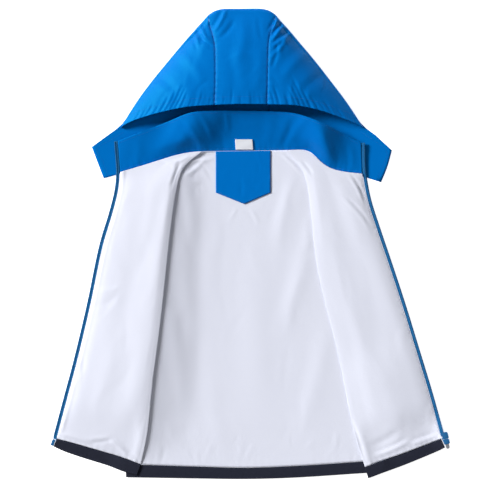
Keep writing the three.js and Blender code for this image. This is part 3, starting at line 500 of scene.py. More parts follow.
@dataclass(frozen=True)
class HardFinish:
    """Moulded plastic or metal of the zip.

    Attributes:
        name: Name of the material.
        slot: Slot of the record that it shows; not used.
        base: Colour, linear.
        worn: Colour where it is rubbed, linear.
        rough: Mean roughness.
        metallic: 1 for metal.
    """

    name: str
    slot: Slot
    base: tuple[float, float, float]
    worn: tuple[float, float, float]
    rough: float
    metallic: float = 0.0

    def material(self) -> bpy.types.Material:
        """The finish's material, built once."""
        if self.name in bpy.data.materials:
            return bpy.data.materials[self.name]
        made = bpy.data.materials.new(self.name)
        made.use_nodes = True
        tree = made.node_tree
        shader = tree.nodes["Principled BSDF"]
        place = tree.nodes.new("ShaderNodeTexCoord").outputs["Object"]
        tone = tree.nodes.new("ShaderNodeGroup")
        tone.node_tree = tone_group()
        tone.inputs["Base"].default_value = (*self.base, 1.0)
        tone.inputs["Deep"].default_value = (*self.worn, 1.0)
        tone.inputs["Thread"].default_value = 1.0
        tone.inputs["Uneven"].default_value = 0.5
        tone.inputs["Rough"].default_value = self.rough
        grain = add_noise(tree, place, 1800.0, 2.0)
        bump = tree.nodes.new("ShaderNodeBump")
        bump.inputs["Distance"].default_value = 0.04 * MM
        bump.inputs["Strength"].default_value = 0.4
        tree.links.new(place, tone.inputs["Place"])
        tree.links.new(grain, bump.inputs["Height"])
        tree.links.new(tone.outputs["Color"], shader.inputs["Base Color"])
        tree.links.new(tone.outputs["Roughness"], shader.inputs["Roughness"])
        tree.links.new(bump.outputs["Normal"], shader.inputs["Normal"])
        shader.inputs["Metallic"].default_value = self.metallic
        return made


SHELL_CLOTH = ClothFinish(
    "coated_shell", Slot.SHELL, (0.0, 0.15, 0.54), (0.0, 0.115, 0.46), Weave.PLAIN, 0.5, 0.06, 0.5,
    gloss=0.25, uneven=0.2, shine=(0.0, 1.0, 0.6),
)
LINING_CLOTH = ClothFinish(
    "soft_lining", Slot.LINING, (0.74, 0.76, 0.86), (0.64, 0.66, 0.78), Weave.KNIT, 0.9, 0.1, 0.9,
    sheen=0.1, uneven=0.15, gloss=0.3,
)
BAND_CLOTH = ClothFinish(
    "navy_band", Slot.BAND, (0.009, 0.012, 0.028), (0.004, 0.005, 0.014), Weave.RIB, 1.1, 0.2, 0.8,
    sheen=0.12,
)
LABEL_CLOTH = ClothFinish(
    "label_satin", Slot.LABEL, (0.82, 0.84, 0.9), (0.7, 0.72, 0.79), Weave.PLAIN, 0.35, 0.04, 0.5, uneven=0.1,
)
TAPE_CLOTH = ClothFinish(
    "zip_tape_cloth", Slot.TAPE, (0.008, 0.15, 0.37), (0.002, 0.09, 0.25), Weave.RIB, 0.7, 0.12, 0.75,
)
BLUE_THREAD = ClothFinish(
    "blue_thread", Slot.SHELL, (0.003, 0.13, 0.5), (0.0, 0.08, 0.34), Weave.PLAIN, 0.25, 0.05, 0.6, sheen=0.2,
)
WHITE_THREAD = ClothFinish(
    "white_thread", Slot.LINING, (0.8, 0.81, 0.88), (0.66, 0.68, 0.78), Weave.PLAIN, 0.25, 0.05, 0.6,
)
NAVY_THREAD = ClothFinish(
    "navy_thread", Slot.BAND, (0.04, 0.048, 0.085), (0.02, 0.024, 0.05), Weave.PLAIN, 0.25, 0.05, 0.6,
)
ZIP_PLASTIC = HardFinish("zip_moulding", Slot.PLASTIC, (0.004, 0.1, 0.27), (0.008, 0.14, 0.34), 0.38)
PULL_METAL = HardFinish("pull_plate", Slot.METAL, (0.42, 0.45, 0.5), (0.6, 0.62, 0.66), 0.35, metallic=1.0)


def points_of(mesh: bpy.types.Mesh) -> np.ndarray:
    """Points of a mesh in millimetres, one row each."""
    places = np.empty(len(mesh.vertices) * 3)
    mesh.vertices.foreach_get("co", places)
    return places.reshape(-1, 3) / MM


def set_points(mesh: bpy.types.Mesh, places: np.ndarray) -> None:
    """Moves a mesh's points to places in millimetres."""
    mesh.vertices.foreach_set("co", (places * MM).ravel())
    mesh.update()


def tree_of(objects: Sequence[bpy.types.Object]) -> BVHTree:
    """Search tree over the faces of some pieces, in millimetres."""
    places: list[Sequence[float]] = []
    faces: list[list[int]] = []
    for piece in objects:
        start = len(places)
        places.extend(points_of(piece.data).tolist())
        faces.extend([start + i for i in face.vertices] for face in piece.data.polygons)
    return BVHTree.FromPolygons(places, faces)


@dataclass
class ClothPiece:
    """One cut piece of cloth on the form of its solid.

    Attributes:
        name: Name of the piece.
        node: Solid that it stands for.
        finish: Its cloth.
        flat: Width and length that it was cut to, in metres; not used.
        area: Area of the cut in square metres; not used.
        levels: How often its mesh is halved.
        wall: Thickness.
        rests_on: Names of what it lies on; not used.
        held: How it is held; not used.
        creases: Its main creases.
        crumples: Its fields of small creases.
        extra: Further heights, worked out from places in millimetres.
    """

    name: str
    node: str
    finish: ClothFinish
    flat: tuple[float, float]
    area: float
    levels: int
    wall: float
    rests_on: tuple[str, ...] = ()
    held: str = "laid"
    creases: Sequence[Crease] = ()
    crumples: Sequence[Crumple] = ()
    extra: Callable[[np.ndarray], np.ndarray] | None = None

    SMOOTHINGS = 14

    def refined(self) -> bpy.types.Object:
        """Fine copy of the solid's surface, with its rims kept."""
        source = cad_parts[self.node].data
        work = bmesh.new()
        work.from_mesh(source)
        bmesh.ops.remove_doubles(work, verts=work.verts, dist=0.002 * MM)
        bmesh.ops.join_triangles(
            work,
            faces=work.faces,
            angle_face_threshold=math.radians(50),
            angle_shape_threshold=math.radians(60),
        )
        held = work.edges.layers.float.new("crease_edge")
        for edge in work.edges:
            if len(edge.link_faces) == 2 and edge.calc_face_angle() > math.radians(33):
                edge[held] = 1.0
        mesh = bpy.data.meshes.new(self.name)
        work.to_mesh(mesh)
        work.free()
        piece = bpy.data.objects.new(self.name, mesh)
        bpy.context.scene.collection.objects.link(piece)
        halved = piece.modifiers.new("halved", "SUBSURF")
        halved.levels = halved.render_levels = self.levels
        seen = piece.evaluated_get(bpy.context.evaluated_depsgraph_get())
        fine = bpy.data.meshes.new_from_object(seen)
        piece.modifiers.clear()
        piece.data = fine
        bpy.data.meshes.remove(mesh)
        fine.name = self.name
        return piece

    def settled(self, places: np.ndarray) -> np.ndarray:
        """Heights that the creases add, in millimetres."""
        x, y = places[:, 0], places[:, 1]
        rise = np.zeros(len(places))
        for crease in [*self.creases, *(c for field_ in self.crumples for c in field_.creases())]:
            rise += crease.height(x, y)
        if self.extra:
            rise += self.extra(places)
        return rise

    def build(self, under: Sequence[bpy.types.Object] = ()) -> bpy.types.Object:
        """Args:
            under: Pieces below it.

        Returns:
            The finished piece.
        """
        piece = self.refined()
        places = points_of(piece.data)
        places[:, 2] += self.settled(places)
        set_points(piece.data, places)
        self.lay_on(piece, under)
        piece.data.polygons.foreach_set("use_smooth", [True] * len(piece.data.polygons))
        piece.data.set_sharp_from_angle(angle=math.radians(50))
        piece.data.materials.clear()
        piece.data.materials.append(self.finish.material())
        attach(piece, GARMENT)
        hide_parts(self.node)
        LOG.info("%s: %d faces", self.name, len(piece.data.polygons))
        return piece

    def lay_on(self, piece: bpy.types.Object, under: Sequence[bpy.types.Object], gap: float = 0.25) -> None:
        """Raises the piece where it would cut into what it lies on.

        Args:
            piece: The piece.
            under: Pieces below it.
            gap: Least distance in millimetres.
        """
        mesh = piece.data
        places = points_of(mesh)
        normals = np.empty(len(places) * 3)
        mesh.vertex_normals.foreach_get("vector", normals)
        up = normals.reshape(-1, 3)[:, 2]
        wall = self.wall * np.select([up > 0.3, up < -0.3], [1.0, 0.0], 0.5)
        need = np.maximum(wall - places[:, 2], 0)
        below = tree_of(under)
        reach, down = 4.0, Vector((0, 0, -1))
        far = reach + self.wall + 1.0
        for i, (x, y, z) in enumerate(places):
            hit = below.ray_cast(Vector((x, y, z + reach)), down, far)[0] if under else None
            if hit is not None:
                need[i] = max(need[i], hit.z + gap + wall[i] - z)
        if not need.any():
            return
        ends = np.empty(len(mesh.edges) * 2, dtype=int)
        mesh.edges.foreach_get("vertices", ends)
        first, second = ends.reshape(-1, 2).T
        count = np.bincount(ends, minlength=len(places))
        rise = need.copy()
        for _ in range(self.SMOOTHINGS):
            total = np.bincount(first, rise[second], len(places))
            total += np.bincount(second, rise[first], len(places))
            rise = np.maximum(need, total / np.maximum(count, 1))
        places[:, 2] += rise
        set_points(mesh, places)


class StitchRun:
    """A row of stitches along a line on a piece."""

    LONG = 2.6
    PITCH = 3.3
    THICK = 0.42

    @staticmethod
    def one_stitch() -> tuple[np.ndarray, list[list[int]]]:
        """Points and faces of one stitch along +X, sunk at both ends."""
        bpy.ops.object.select_all(action="DESELECT")
        bpy.ops.mesh.primitive_uv_sphere_add(segments=6, ring_count=5, radius=0.5)
        ball = bpy.context.object
        bpy.ops.object.mode_set(mode="EDIT")
        bpy.ops.mesh.select_all(action="SELECT")
        bpy.ops.transform.rotate(value=math.pi / 2, orient_axis="Y", center_override=(0, 0, 0))
        bpy.ops.object.mode_set(mode="OBJECT")
        shape = np.array([v.co[:] for v in ball.data.vertices])
        faces = [list(f.vertices) for f in ball.data.polygons]
        bpy.data.objects.remove(ball, do_unlink=True)
        return shape, faces


def add_stitches(
    name: str, on: Sequence[bpy.types.Object], lines: Sequence[np.ndarray], finish: ClothFinish
) -> bpy.types.Object:
    """Rows of stitches laid on cloth along lines in plan.

    Args:
        name: Name of the new piece.
        on: Cloth that they hold.
        lines: Points of each row, evenly spaced by the stitches' pitch.
        finish: Thread.

    Returns:
        The stitches, as one piece.
    """
    shape, faces = StitchRun.one_stitch()
    cloth = tree_of(on)
    places: list[np.ndarray] = []
    shape = shape * (StitchRun.LONG, StitchRun.THICK, StitchRun.THICK)
    for line in lines:
        for start, end in zip(line, line[1:]):
            middle = (start + end) / 2
            ends = [
                cloth.ray_cast(Vector((*place, OVER_ALL)), Vector((0, 0, -1)))[0]
                for place in (start, middle, end)
            ]
            if any(hit is None for hit in ends):
                continue
            ahead = (ends[2] - ends[0]).normalized()
            if ahead.z**2 > 0.5:
                continue
            aside = Vector((0, 0, 1)).cross(ahead).normalized()
            up = ahead.cross(aside)
            turn = np.array([ahead, aside, up])
            places.append(shape @ turn + np.array(ends[1]) + np.array(up) * StitchRun.THICK * 0.22)
    return add_copies(name, places, faces, finish, GARMENT)


def add_copies(
    name: str,
    places: Sequence[np.ndarray],
    faces: list[list[int]],
    finish: ClothFinish | HardFinish,
    body: str,
) -> bpy.types.Object:
    """One piece from many placed copies of a small form.

    Args:
        name: Name of the new piece.
        places: Points of each copy, in millimetres.
        faces: Faces of the form.
        finish: Material.
        body: Body that it rides on.

    Returns:
        The piece.
    """
    mesh = bpy.data.meshes.new(name)
    count = len(places[0])
    all_faces = [[i + copy * count for i in face] for copy in range(len(places)) for face in faces]
    mesh.from_pydata((np.vstack(places) * MM).tolist(), [], all_faces)
    mesh.polygons.foreach_set("use_smooth", [True] * len(mesh.polygons))
    mesh.materials.append(finish.material())
    piece = bpy.data.objects.new(name, mesh)
    bpy.context.scene.collection.objects.link(piece)
    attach(piece, body)
    LOG.info("%s: %d copies", name, len(places))
    return piece


def add_seam_fill(
    name: str, on: Sequence[bpy.types.Object], lines: Sequence[np.ndarray], toward: float
) -> None:
    """Narrow strips inside the cloth that close the slits between pieces sewn edge to edge.

    Args:
        name: Name of the new piece.
        on: Cloth on both sides.
        lines: Points along each seam.
        toward: 1 for the cloth's upper layer, found from above, and -1 for its lower layer.
    """
    half, sunk, thick = 1.2, 0.3, 0.5
    cloth = tree_of(on)
    places: list[tuple[float, float, float]] = []
    faces: list[list[int]] = []
    for line in lines:
        ahead = np.gradient(line, axis=0)
        aside = np.stack([-ahead[:, 1], ahead[:, 0]], axis=1) / np.linalg.norm(ahead, axis=1)[:, None]
        start = len(places)
        for place, across in zip(line, aside):
            for side in (-half, half):
                x, y = place + across * side
                hit = cloth.ray_cast(Vector((x, y, OVER_ALL * toward)), Vector((0, 0, -toward)))[0]
                face = hit.z - sunk * toward if hit else places[-1][2]
                places += [(x, y, face), (x, y, face - thick * toward)]
        for i in range(len(line) - 1):
            a, b = start + 4 * i, start + 4 * i + 4
            faces += [[a, a + 2, b + 2, b], [a + 1, b + 1, b + 3, a + 3]]
            faces += [[a, b, b + 1, a + 1], [a + 2, a + 3, b + 3, b + 2]]
        last = start + 4 * (len(line) - 1)
        faces += [[start, start + 1, start + 3, start + 2], [last, last + 2, last + 3, last + 1]]
    if toward > 0:
        faces = [face[::-1] for face in faces]
    add_copies(name, [np.array(places)], faces, BLUE_THREAD, GARMENT)


@dataclass
class BackPanel:
    """Back shell and lining, the hem band under them, and the patch at the neck."""

    pieces: dict[str, bpy.types.Object] = field(default_factory=dict)

    CREASES = (
        Crease(-106, 60, 97, 60, 12, 0.9, 3, 0.3),
        Crease(-112, -60, 95, 90, 15, 0.7, -4, 0.3),
        Crease(-128, -200, 97, 90, 14, 0.6, 4, 0.3),
        Crease(-40, 0, 88, 90, 22, -0.6, 5, 0.2),
        Crease(10, -150, 92, 120, 26, 0.6, -6, 0.2),
        Crease(60, 56, 78, 56, 10, 0.7, -3, 0.3),
        Crease(84, -60, 74, 90, 14, 0.7, 4, 0.3),
        Crease(116, -230, 76, 90, 16, 0.7, 3, 0.2),
        Crease(-60, -300, 100, 60, 16, 0.5, -4, 0.2),
        Crease(-96, 132, 38, 18, 4, 1.1, 1, 0.5),
        Crease(-90, 146, 4, 24, 3.4, 0.9, 1, 0.5),
        Crease(-78, 130, 130, 16, 4, -0.7, 1, 0.4),
        Crease(75, 145, 137, 21, 3, -1.4, 1, 0.6),
        Crease(88, 152, 168, 14, 3, -1.0, 1, 0.5),
        Crease(-30, 52, 60, 12, 4, 0.4, 1, 0.3),
        Crease(8, 48, 118, 14, 4, 0.4, 1, 0.3),
    )

    def build(self) -> None:
        """Builds the back from the surface up."""
        shell = ClothPiece("back_panel", "back_shell", SHELL_CLOTH, (0.43, 0.56), 0.168, 2, 1.2).build()
        band = ClothPiece(
            "back_hem_band", "hem_band_back", BAND_CLOTH, (0.43, 0.04), 0.0098, 3, 2.3,
            crumples=(Crumple(31, 26, -215, 210, -408, -386, 90, 12, 9, 3.5, 0.22),),
        ).build()
        lining = ClothPiece(
            "back_lining", "lining_back", LINING_CLOTH, (0.43, 0.56), 0.168, 3, 1.0, ("back_panel",),
            creases=self.CREASES,
            crumples=(
                Crumple(11, 30, -150, 130, -350, 140, 92, 20, 46, 11, 0.28),
                Crumple(12, 30, -190, 190, -385, -335, 88, 26, 15, 5, 0.28),
                Crumple(13, 12, -128, -70, 60, 152, 100, 40, 20, 6, 0.5),
            ),
            extra=self.held_at_edges,
        ).build([shell])
        patch = ClothPiece(
            "neck_patch_cloth", "neck_patch", SHELL_CLOTH, (0.1, 0.095), 0.0079, 3, 1.0, ("back_lining",),
            crumples=(Crumple(15, 14, -58, 36, 72, 158, 80, 30, 22, 6, 0.22),),
        ).build([lining])
        self.pieces.update(shell=shell, band=band, lining=lining, patch=patch)

    @staticmethod
    def held_at_edges(places: np.ndarray) -> np.ndarray:
        """Small puckers where the lining is sewn to the hem band."""
        gap, run = near_line(places[:, 0], places[:, 1], np.array(HEM_BACK, float))
        return 0.25 * np.sin(run * math.tau / 11.0 + 2.6 * np.sin(run / 23.0)) * np.exp(-gap / 7.0)


@dataclass
class Fronts:
    """Both fronts with their linings, the sleeves below them and the hem bands."""

    pieces: dict[str, bpy.types.Object] = field(default_factory=dict)

    LEFT = (
        Crease(-130, 122, 72, 22, 3.6, -1.0, 1, 0.4),
        Crease(-139, 140, 150, 11, 3.6, 0.7, 1, 0.4),
        Crease(-122, 146, 18, 16, 3.6, 0.8, 1, 0.4),
        Crease(-250, -81, 10, 20, 4.5, 0.7, 2, 0.4),
        Crease(-258, -104, 16, 22, 5.0, -0.7, 2, 0.4),
        Crease(-176, 60, 80, 70, 12.0, 0.6, 4, 0.2),
        Crease(-168, -60, 82, 80, 12.0, 0.7, 4, 0.3),
        Crease(-214, -90, 77, 90, 15.0, -0.6, 5, 0.2),
        Crease(-196, -220, 80, 70, 13.0, 0.7, 3, 0.3),
        Crease(-250, -240, 74, 70, 14.0, 0.6, -4, 0.2),
        Crease(-298, -232, 74, 14, 4.0, 0.5, 1, 0.3),
        Crease(-292, -214, 84, 12, 4.0, -0.5, 1, 0.3),
        Crease(-307, -339, 165, 28, 4.0, 1.1, 2, 0.6),
        Crease(-262, -346, 8, 19, 4.0, -1.1, 1, 0.6),
        Crease(-231, -354, 138, 20, 5.0, 1.1, 3, 0.5),
        Crease(-206, -368, 140, 16, 4.0, -0.9, 2, 0.5),
    )
    RIGHT = (
        Crease(100, 134, 128, 14, 3.4, -0.9, 1, 0.5),
        Crease(191, 98, 118, 24, 3.2, -1.2, 2, 0.6),
        Crease(190, 58, 131, 30, 3.4, -1.1, 2, 0.6),
        Crease(244, -275, 108, 85, 40.0, 4.0),
        Crease(174, 60, 110, 60, 12.0, 0.6, 4, 0.2),
        Crease(150, -10, 102, 70, 13.0, 0.6, -4, 0.3),
        Crease(200, -60, 110, 80, 15.0, -0.6, 4, 0.2),
        Crease(184, -150, 106, 80, 13.0, 0.7, 3, 0.3),
        Crease(236, -200, 108, 70, 14.0, -0.5, -4, 0.2),
        Crease(206, -260, 106, 60, 13.0, 0.7, 4, 0.2),
        Crease(188, -340, 110, 34, 4.0, -1.0, 2, 0.5),
        Crease(236, -342, 30, 26, 7.0, -0.9, 2, 0.3),
        Crease(248, -359, 23, 30, 4.0, 1.1, 2, 0.6),
        Crease(304, -343, 19, 22, 4.0, 1.0, 1, 0.6),
    )

    def build(self, back: BackPanel) -> None:
        """Builds sleeves, fronts and bands on the back.

        Args:
            back: The back that they lie on.
        """
        left_small = Crumple(21, 26, -320, -150, -370, 110, 78, 22, 40, 10, 0.28)
        right_small = Crumple(22, 26, 130, 320, -370, 110, 108, 22, 40, 10, 0.28)
        sides = (
            ("left", self.LEFT, ZIP_LEFT, HEM_LEFT, left_small, 1.4, 1.2),
            ("right", self.RIGHT, ZIP_RIGHT, HEM_RIGHT, right_small, 0.0, 0.0),
        )
        for side, creases, zip_line, hem, crumple, rolled, folded in sides:
            sleeve = ClothPiece(
                f"{side}_sleeve", f"sleeve_{side}", SHELL_CLOTH, (0.19, 0.44), 0.072, 2, 1.2, held="folded",
            ).build()
            puckers = self.puckers(np.array(zip_line, float), np.array(hem, float), rolled, folded)
            shell = ClothPiece(
                f"{side}_front", f"front_shell_{side}", SHELL_CLOTH, (0.17, 0.56), 0.064, 2, 1.2,
                ("back_lining", f"{side}_sleeve"), creases=creases, crumples=(crumple,), extra=puckers,
            ).build([sleeve, back.pieces["lining"], back.pieces["band"]])
            lining = ClothPiece(
                f"{side}_front_lining", f"lining_front_{side}", LINING_CLOTH, (0.18, 0.57), 0.0665, 3, 1.0,
                (f"{side}_front",), creases=creases, crumples=(crumple,), extra=puckers,
            ).build([shell, back.pieces["lining"]])
            span = (-340, -195) if side == "left" else (205, 335)
            band = ClothPiece(
                f"{side}_hem_band", f"hem_band_{side}", BAND_CLOTH, (0.155, 0.03), 0.0034, 3, 2.3,
                ("back_hem_band",),
                crumples=(Crumple(33 + len(side), 14, *span, -405, -345, 90, 20, 8, 3.5, 0.25),),
            ).build([back.pieces["band"]])
            made = {"sleeve": sleeve, "shell": shell, "lining": lining, "band": band}
            self.pieces.update({f"{side}_{name}": piece for name, piece in made.items()})

    @staticmethod
    def puckers(
        zip_line: np.ndarray, hem: np.ndarray, rolled: float, folded: float
    ) -> Callable[[np.ndarray], np.ndarray]:
        """Small waves where a front is sewn to its zip and its hem band, and how crisp its edges are.

        Args:
            zip_line: The sewn zip edge.
            hem: The hem seam.
            rolled: Height of the roll beside the zip.
            folded: Height of the crisp edge at the side crease.

        Returns:
            Function from places to heights, in millimetres.
        """

        def heights(places: np.ndarray) -> np.ndarray:
            """Heights of the small waves and of the crisp edges."""
            x, y = places[:, 0], places[:, 1]
            zip_gap, zip_run = near_line(x, y, zip_line)
            hem_gap, hem_run = near_line(x, y, hem)
            fold_gap, _ = near_line(x, y, np.array(CREASE_LEFT, float))
            zip_waves = np.sin(zip_run * math.tau / 15.0 + 3.0 * np.sin(zip_run / 31.0))
            hem_waves = np.sin(hem_run * math.tau / 11.0 + 2.6 * np.sin(hem_run / 19.0))
            waves = 0.2 * zip_waves * np.exp(-zip_gap / 8.0) + 0.22 * hem_waves * np.exp(-hem_gap / 7.0)
            roll = rolled * np.exp(-(((zip_gap - 5.0) / 4.0) ** 2))
            fold = folded * np.exp(-((fold_gap / 4.5) ** 2))
            away_from_hem = 1.0 - np.exp(-((hem_gap / 16.0) ** 2))
            return waves + (roll + fold) * away_from_hem

        return heights


@dataclass
class Hood:
    """The three-piece hood, with its front edge gathered on elastic."""

    pieces: dict[str, bpy.types.Object] = field(default_factory=dict)

    CROWN = (-14.0, 470.0)
    UPPER_FROM = 7.0
    UPPER_OVER = 6.0
    GATHERS = (
        # x on the front edge, length and depth of each gather
        (-212, 12, 0.39), (-203, 18, 0.65), (-192, 14, 0.39), (-183, 22, 0.78), (-169, 16, 0.45),
        (-158, 26, 0.59), (-147, 34, 1.04), (-139, 42, 1.3), (-131, 36, 1.1), (-122, 26, 0.65),
        (-107, 16, 0.39), (-90, 22, 0.45), (-72, 14, 0.33), (-47, 16, 0.33), (-33, 24, 0.45),
        (-17, 14, 0.26), (2, 20, 0.39), (19, 16, 0.33), (42, 20, 0.52), (51, 30, 0.78),
        (67, 18, 0.39), (80, 26, 0.65), (89, 42, 1.23), (98, 48, 1.37), (107, 40, 1.17),
        (119, 26, 0.72), (131, 18, 0.45), (144, 26, 0.72), (153, 18, 0.45), (163, 20, 0.72),
        (177, 14, 0.45), (186, 12, 0.33),
    )
    CREASES = (
        Crease(-88, 377, 124, 20, 3.4, 2.4, 2, 0.8),
        Crease(-97, 362, 118, 18, 3.2, 1.9, 2, 0.8),
        Crease(-78, 360, 138, 16, 3.0, 1.5, -1, 0.7),
        Crease(-52, 389, 62, 22, 4.0, 1.8, 2, 0.6),
        Crease(-40, 372, 50, 18, 4.5, -1.2, 2, 0.4),
        Crease(46, 388, 62, 18, 3.2, 2.1, 1, 0.8),
        Crease(54, 374, 48, 22, 3.4, 2.8, -2, 0.8),
        Crease(60, 360, 40, 22, 3.4, 2.4, 2, 0.8),
        Crease(54, 344, 52, 20, 3.6, 1.8, 2, 0.7),
        Crease(44, 326, 74, 18, 4.0, -1.2, 2, 0.4),
        Crease(-110, 318, 136, 40, 9.0, 1.2, 5, 0.4),
        Crease(-152, 284, 142, 36, 8.0, -1.2, 5, 0.3),
        Crease(84, 318, 44, 40, 9.0, 1.3, -5, 0.4),
        Crease(118, 286, 38, 36, 8.0, -1.3, -5, 0.3),
        Crease(-16, 350, 80, 40, 10.0, 1.0, 6, 0.2),
        Crease(-30, 290, 96, 40, 10.0, -0.9, 5, 0.2),
        Crease(14, 300, 82, 34, 9.0, 0.8, 4, 0.2),
    )

    def build(self) -> None:
        """Builds the three pieces of the hood."""
        center = ClothPiece(
            "hood_middle", "hood_center", SHELL_CLOTH, (0.13, 0.42), 0.0427, 3, 1.2, held="folded",
            extra=self.raised,
        ).build()
        self.pieces["center"] = center
        for side in ("left", "right"):
            self.pieces[side] = ClothPiece(
                f"hood_{side}", f"hood_side_{side}", SHELL_CLOTH, (0.3, 0.34), 0.047, 3, 1.2, held="folded",
                extra=self.raised,
            ).build()

    def raised(self, places: np.ndarray) -> np.ndarray:
        """Heights of creases and gathers, on the hood's upper layer alone.

        Args:
            places: Points in millimetres.

        Returns:
            The heights in millimetres.
        """
        x, y = places[:, 0], places[:, 1]
        rise = np.zeros(len(places))
        for crease in self.CREASES:
            rise += crease.height(x, y)
        for crease in Crumple(41, 34, -190, 170, 255, 395, 90, 50, 26, 6, 0.45).creases():
            rise += crease.height(x, y)
        mouth = np.array((*MOUTH_LEFT[::-1], *MOUTH_CENTER[1:], *MOUTH_RIGHT[1:]), float)
        for foot, long, deep in self.GATHERS:
            edge = float(np.interp(foot, mouth[:, 0], mouth[:, 1]))
            turn = math.atan2(self.CROWN[1] - edge, self.CROWN[0] - foot)
            half = long * 0.6
            middle = (foot + math.cos(turn) * half * 0.8, edge + math.sin(turn) * half * 0.8)
            wide = 1.8 + long * 0.03
            rise += Crease(*middle, math.degrees(turn), half, wide, -deep, 1.0, 0.35).height(x, y)
        for seam in (TOP_SEAM_LEFT, TOP_SEAM_RIGHT):
            gap, run = near_line(x, y, np.array(seam, float))
            rise -= 0.9 * np.exp(-((gap / 2.2) ** 2))
            rise += 0.3 * np.sin(run * math.tau / 11.0 + 1.5 * np.sin(run / 17.0)) * np.exp(-gap / 7.0)
        upper = np.clip((places[:, 2] - self.UPPER_FROM) / self.UPPER_OVER, 0, 1)
        return rise * upper


@dataclass
class Neck:
    """Stand collar with its bare label."""

    pieces: dict[str, bpy.types.Object] = field(default_factory=dict)

    CREASES = (
        Crease(-128, 188, 58, 36, 9.0, -0.8, 3, 0.2),
        Crease(-98, 190, 124, 30, 6.0, 1.2, 3, 0.4),
        Crease(-76, 206, 118, 22, 5.0, 0.9, 2, 0.4),
        Crease(-72, 200, 62, 44, 22.0, 4.4),
        Crease(-52, 186, 104, 24, 7.0, -0.6, 2, 0.3),
        Crease(-40, 212, 96, 16, 5.0, 0.7, 1, 0.3),
        Crease(134, 172, 98, 38, 16.0, 2.4),
        Crease(34, 200, 84, 26, 9.0, 0.6, 2, 0.3),
        Crease(64, 188, 66, 24, 6.0, -0.8, 2, 0.3),
        Crease(84, 200, 56, 26, 8.0, 0.9, -2, 0.3),
        Crease(124, 192, 120, 34, 9.0, 0.9, 3, 0.2),
        Crease(146, 165, 110, 30, 9.0, -1.2, 3, 0.2),
        Crease(178, 150, 96, 22, 6.0, 0.7, 2, 0.3),
        Crease(-196, 158, 84, 24, 8.0, 0.6, 2, 0.2),
    )

    def build(self, hood: Hood) -> None:
        """Builds the collar on the hood and the label on the collar.

        Args:
            hood: The hood that the collar lies on.
        """
        collar = ClothPiece(
            "stand_collar", "collar", SHELL_CLOTH, (0.45, 0.1), 0.029, 3, 2.2, ("hood_middle",),
            creases=self.CREASES,
            crumples=(Crumple(51, 16, -215, 185, 140, 220, 90, 40, 20, 7, 0.22),),
            extra=self.held_at_neck,
        ).build(list(hood.pieces.values()))
        label = ClothPiece(
            "bare_label", "neck_label", LABEL_CLOTH, (0.035, 0.02), 0.00062, 3, 1.0, ("stand_collar",),
            creases=(Crease(-6, 172, 8, 14, 5, 0.5),),
        ).build([collar])
        self.pieces.update(collar=collar, label=label)

    @staticmethod
    def held_at_neck(places: np.ndarray) -> np.ndarray:
        """Puckers along the neck seam, and a shallow channel at its topstitching."""
        gap, run = near_line(places[:, 0], places[:, 1], np.array(NECK, float))
        waves = 0.22 * np.sin(run * math.tau / 12.0 + 2.8 * np.sin(run / 21.0)) * np.exp(-gap / 8.0)
        return waves - 0.3 * np.exp(-(((gap - 4.0) / 1.6) ** 2))


@dataclass(frozen=True)
class HardPiece:
    """A moulded or stamped piece of the zip, with its edges rounded.

    Attributes:
        name: Name of the piece.
        node: Solid that it stands for.
        finish: Its material.
        body: Body that it rides on.
        round_off: How far its edges are rounded.
    """

    name: str
    node: str
    finish: HardFinish
    body: str
    round_off: float

    def build(self) -> bpy.types.Object:
        bpy.ops.object.select_all(action="DESELECT")
        piece = bpy.data.objects.new(self.name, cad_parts[self.node].data.copy())
        bpy.context.scene.collection.objects.link(piece)
        bpy.context.view_layer.objects.active = piece
        piece.select_set(True)
        bpy.ops.object.mode_set(mode="EDIT")
        bpy.ops.mesh.select_all(action="SELECT")
        bpy.ops.mesh.remove_doubles(threshold=0.001 * MM)
        bpy.ops.mesh.dissolve_limited(angle_limit=math.radians(2))
        bpy.ops.mesh.select_all(action="DESELECT")
        bpy.ops.mesh.edges_select_sharp(sharpness=math.radians(35))
        bpy.ops.mesh.bevel(offset=self.round_off * MM, offset_pct=0, segments=3, clamp_overlap=True)
        bpy.ops.object.mode_set(mode="OBJECT")
        piece.data.polygons.foreach_set("use_smooth", [True] * len(piece.data.polygons))
        piece.data.set_sharp_from_angle(angle=math.radians(40))
        piece.data.materials.clear()
        piece.data.materials.append(self.finish.material())
        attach(piece, self.body)
        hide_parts(self.node)
        LOG.info("%s: %d faces", self.name, len(piece.data.polygons))
        return piece


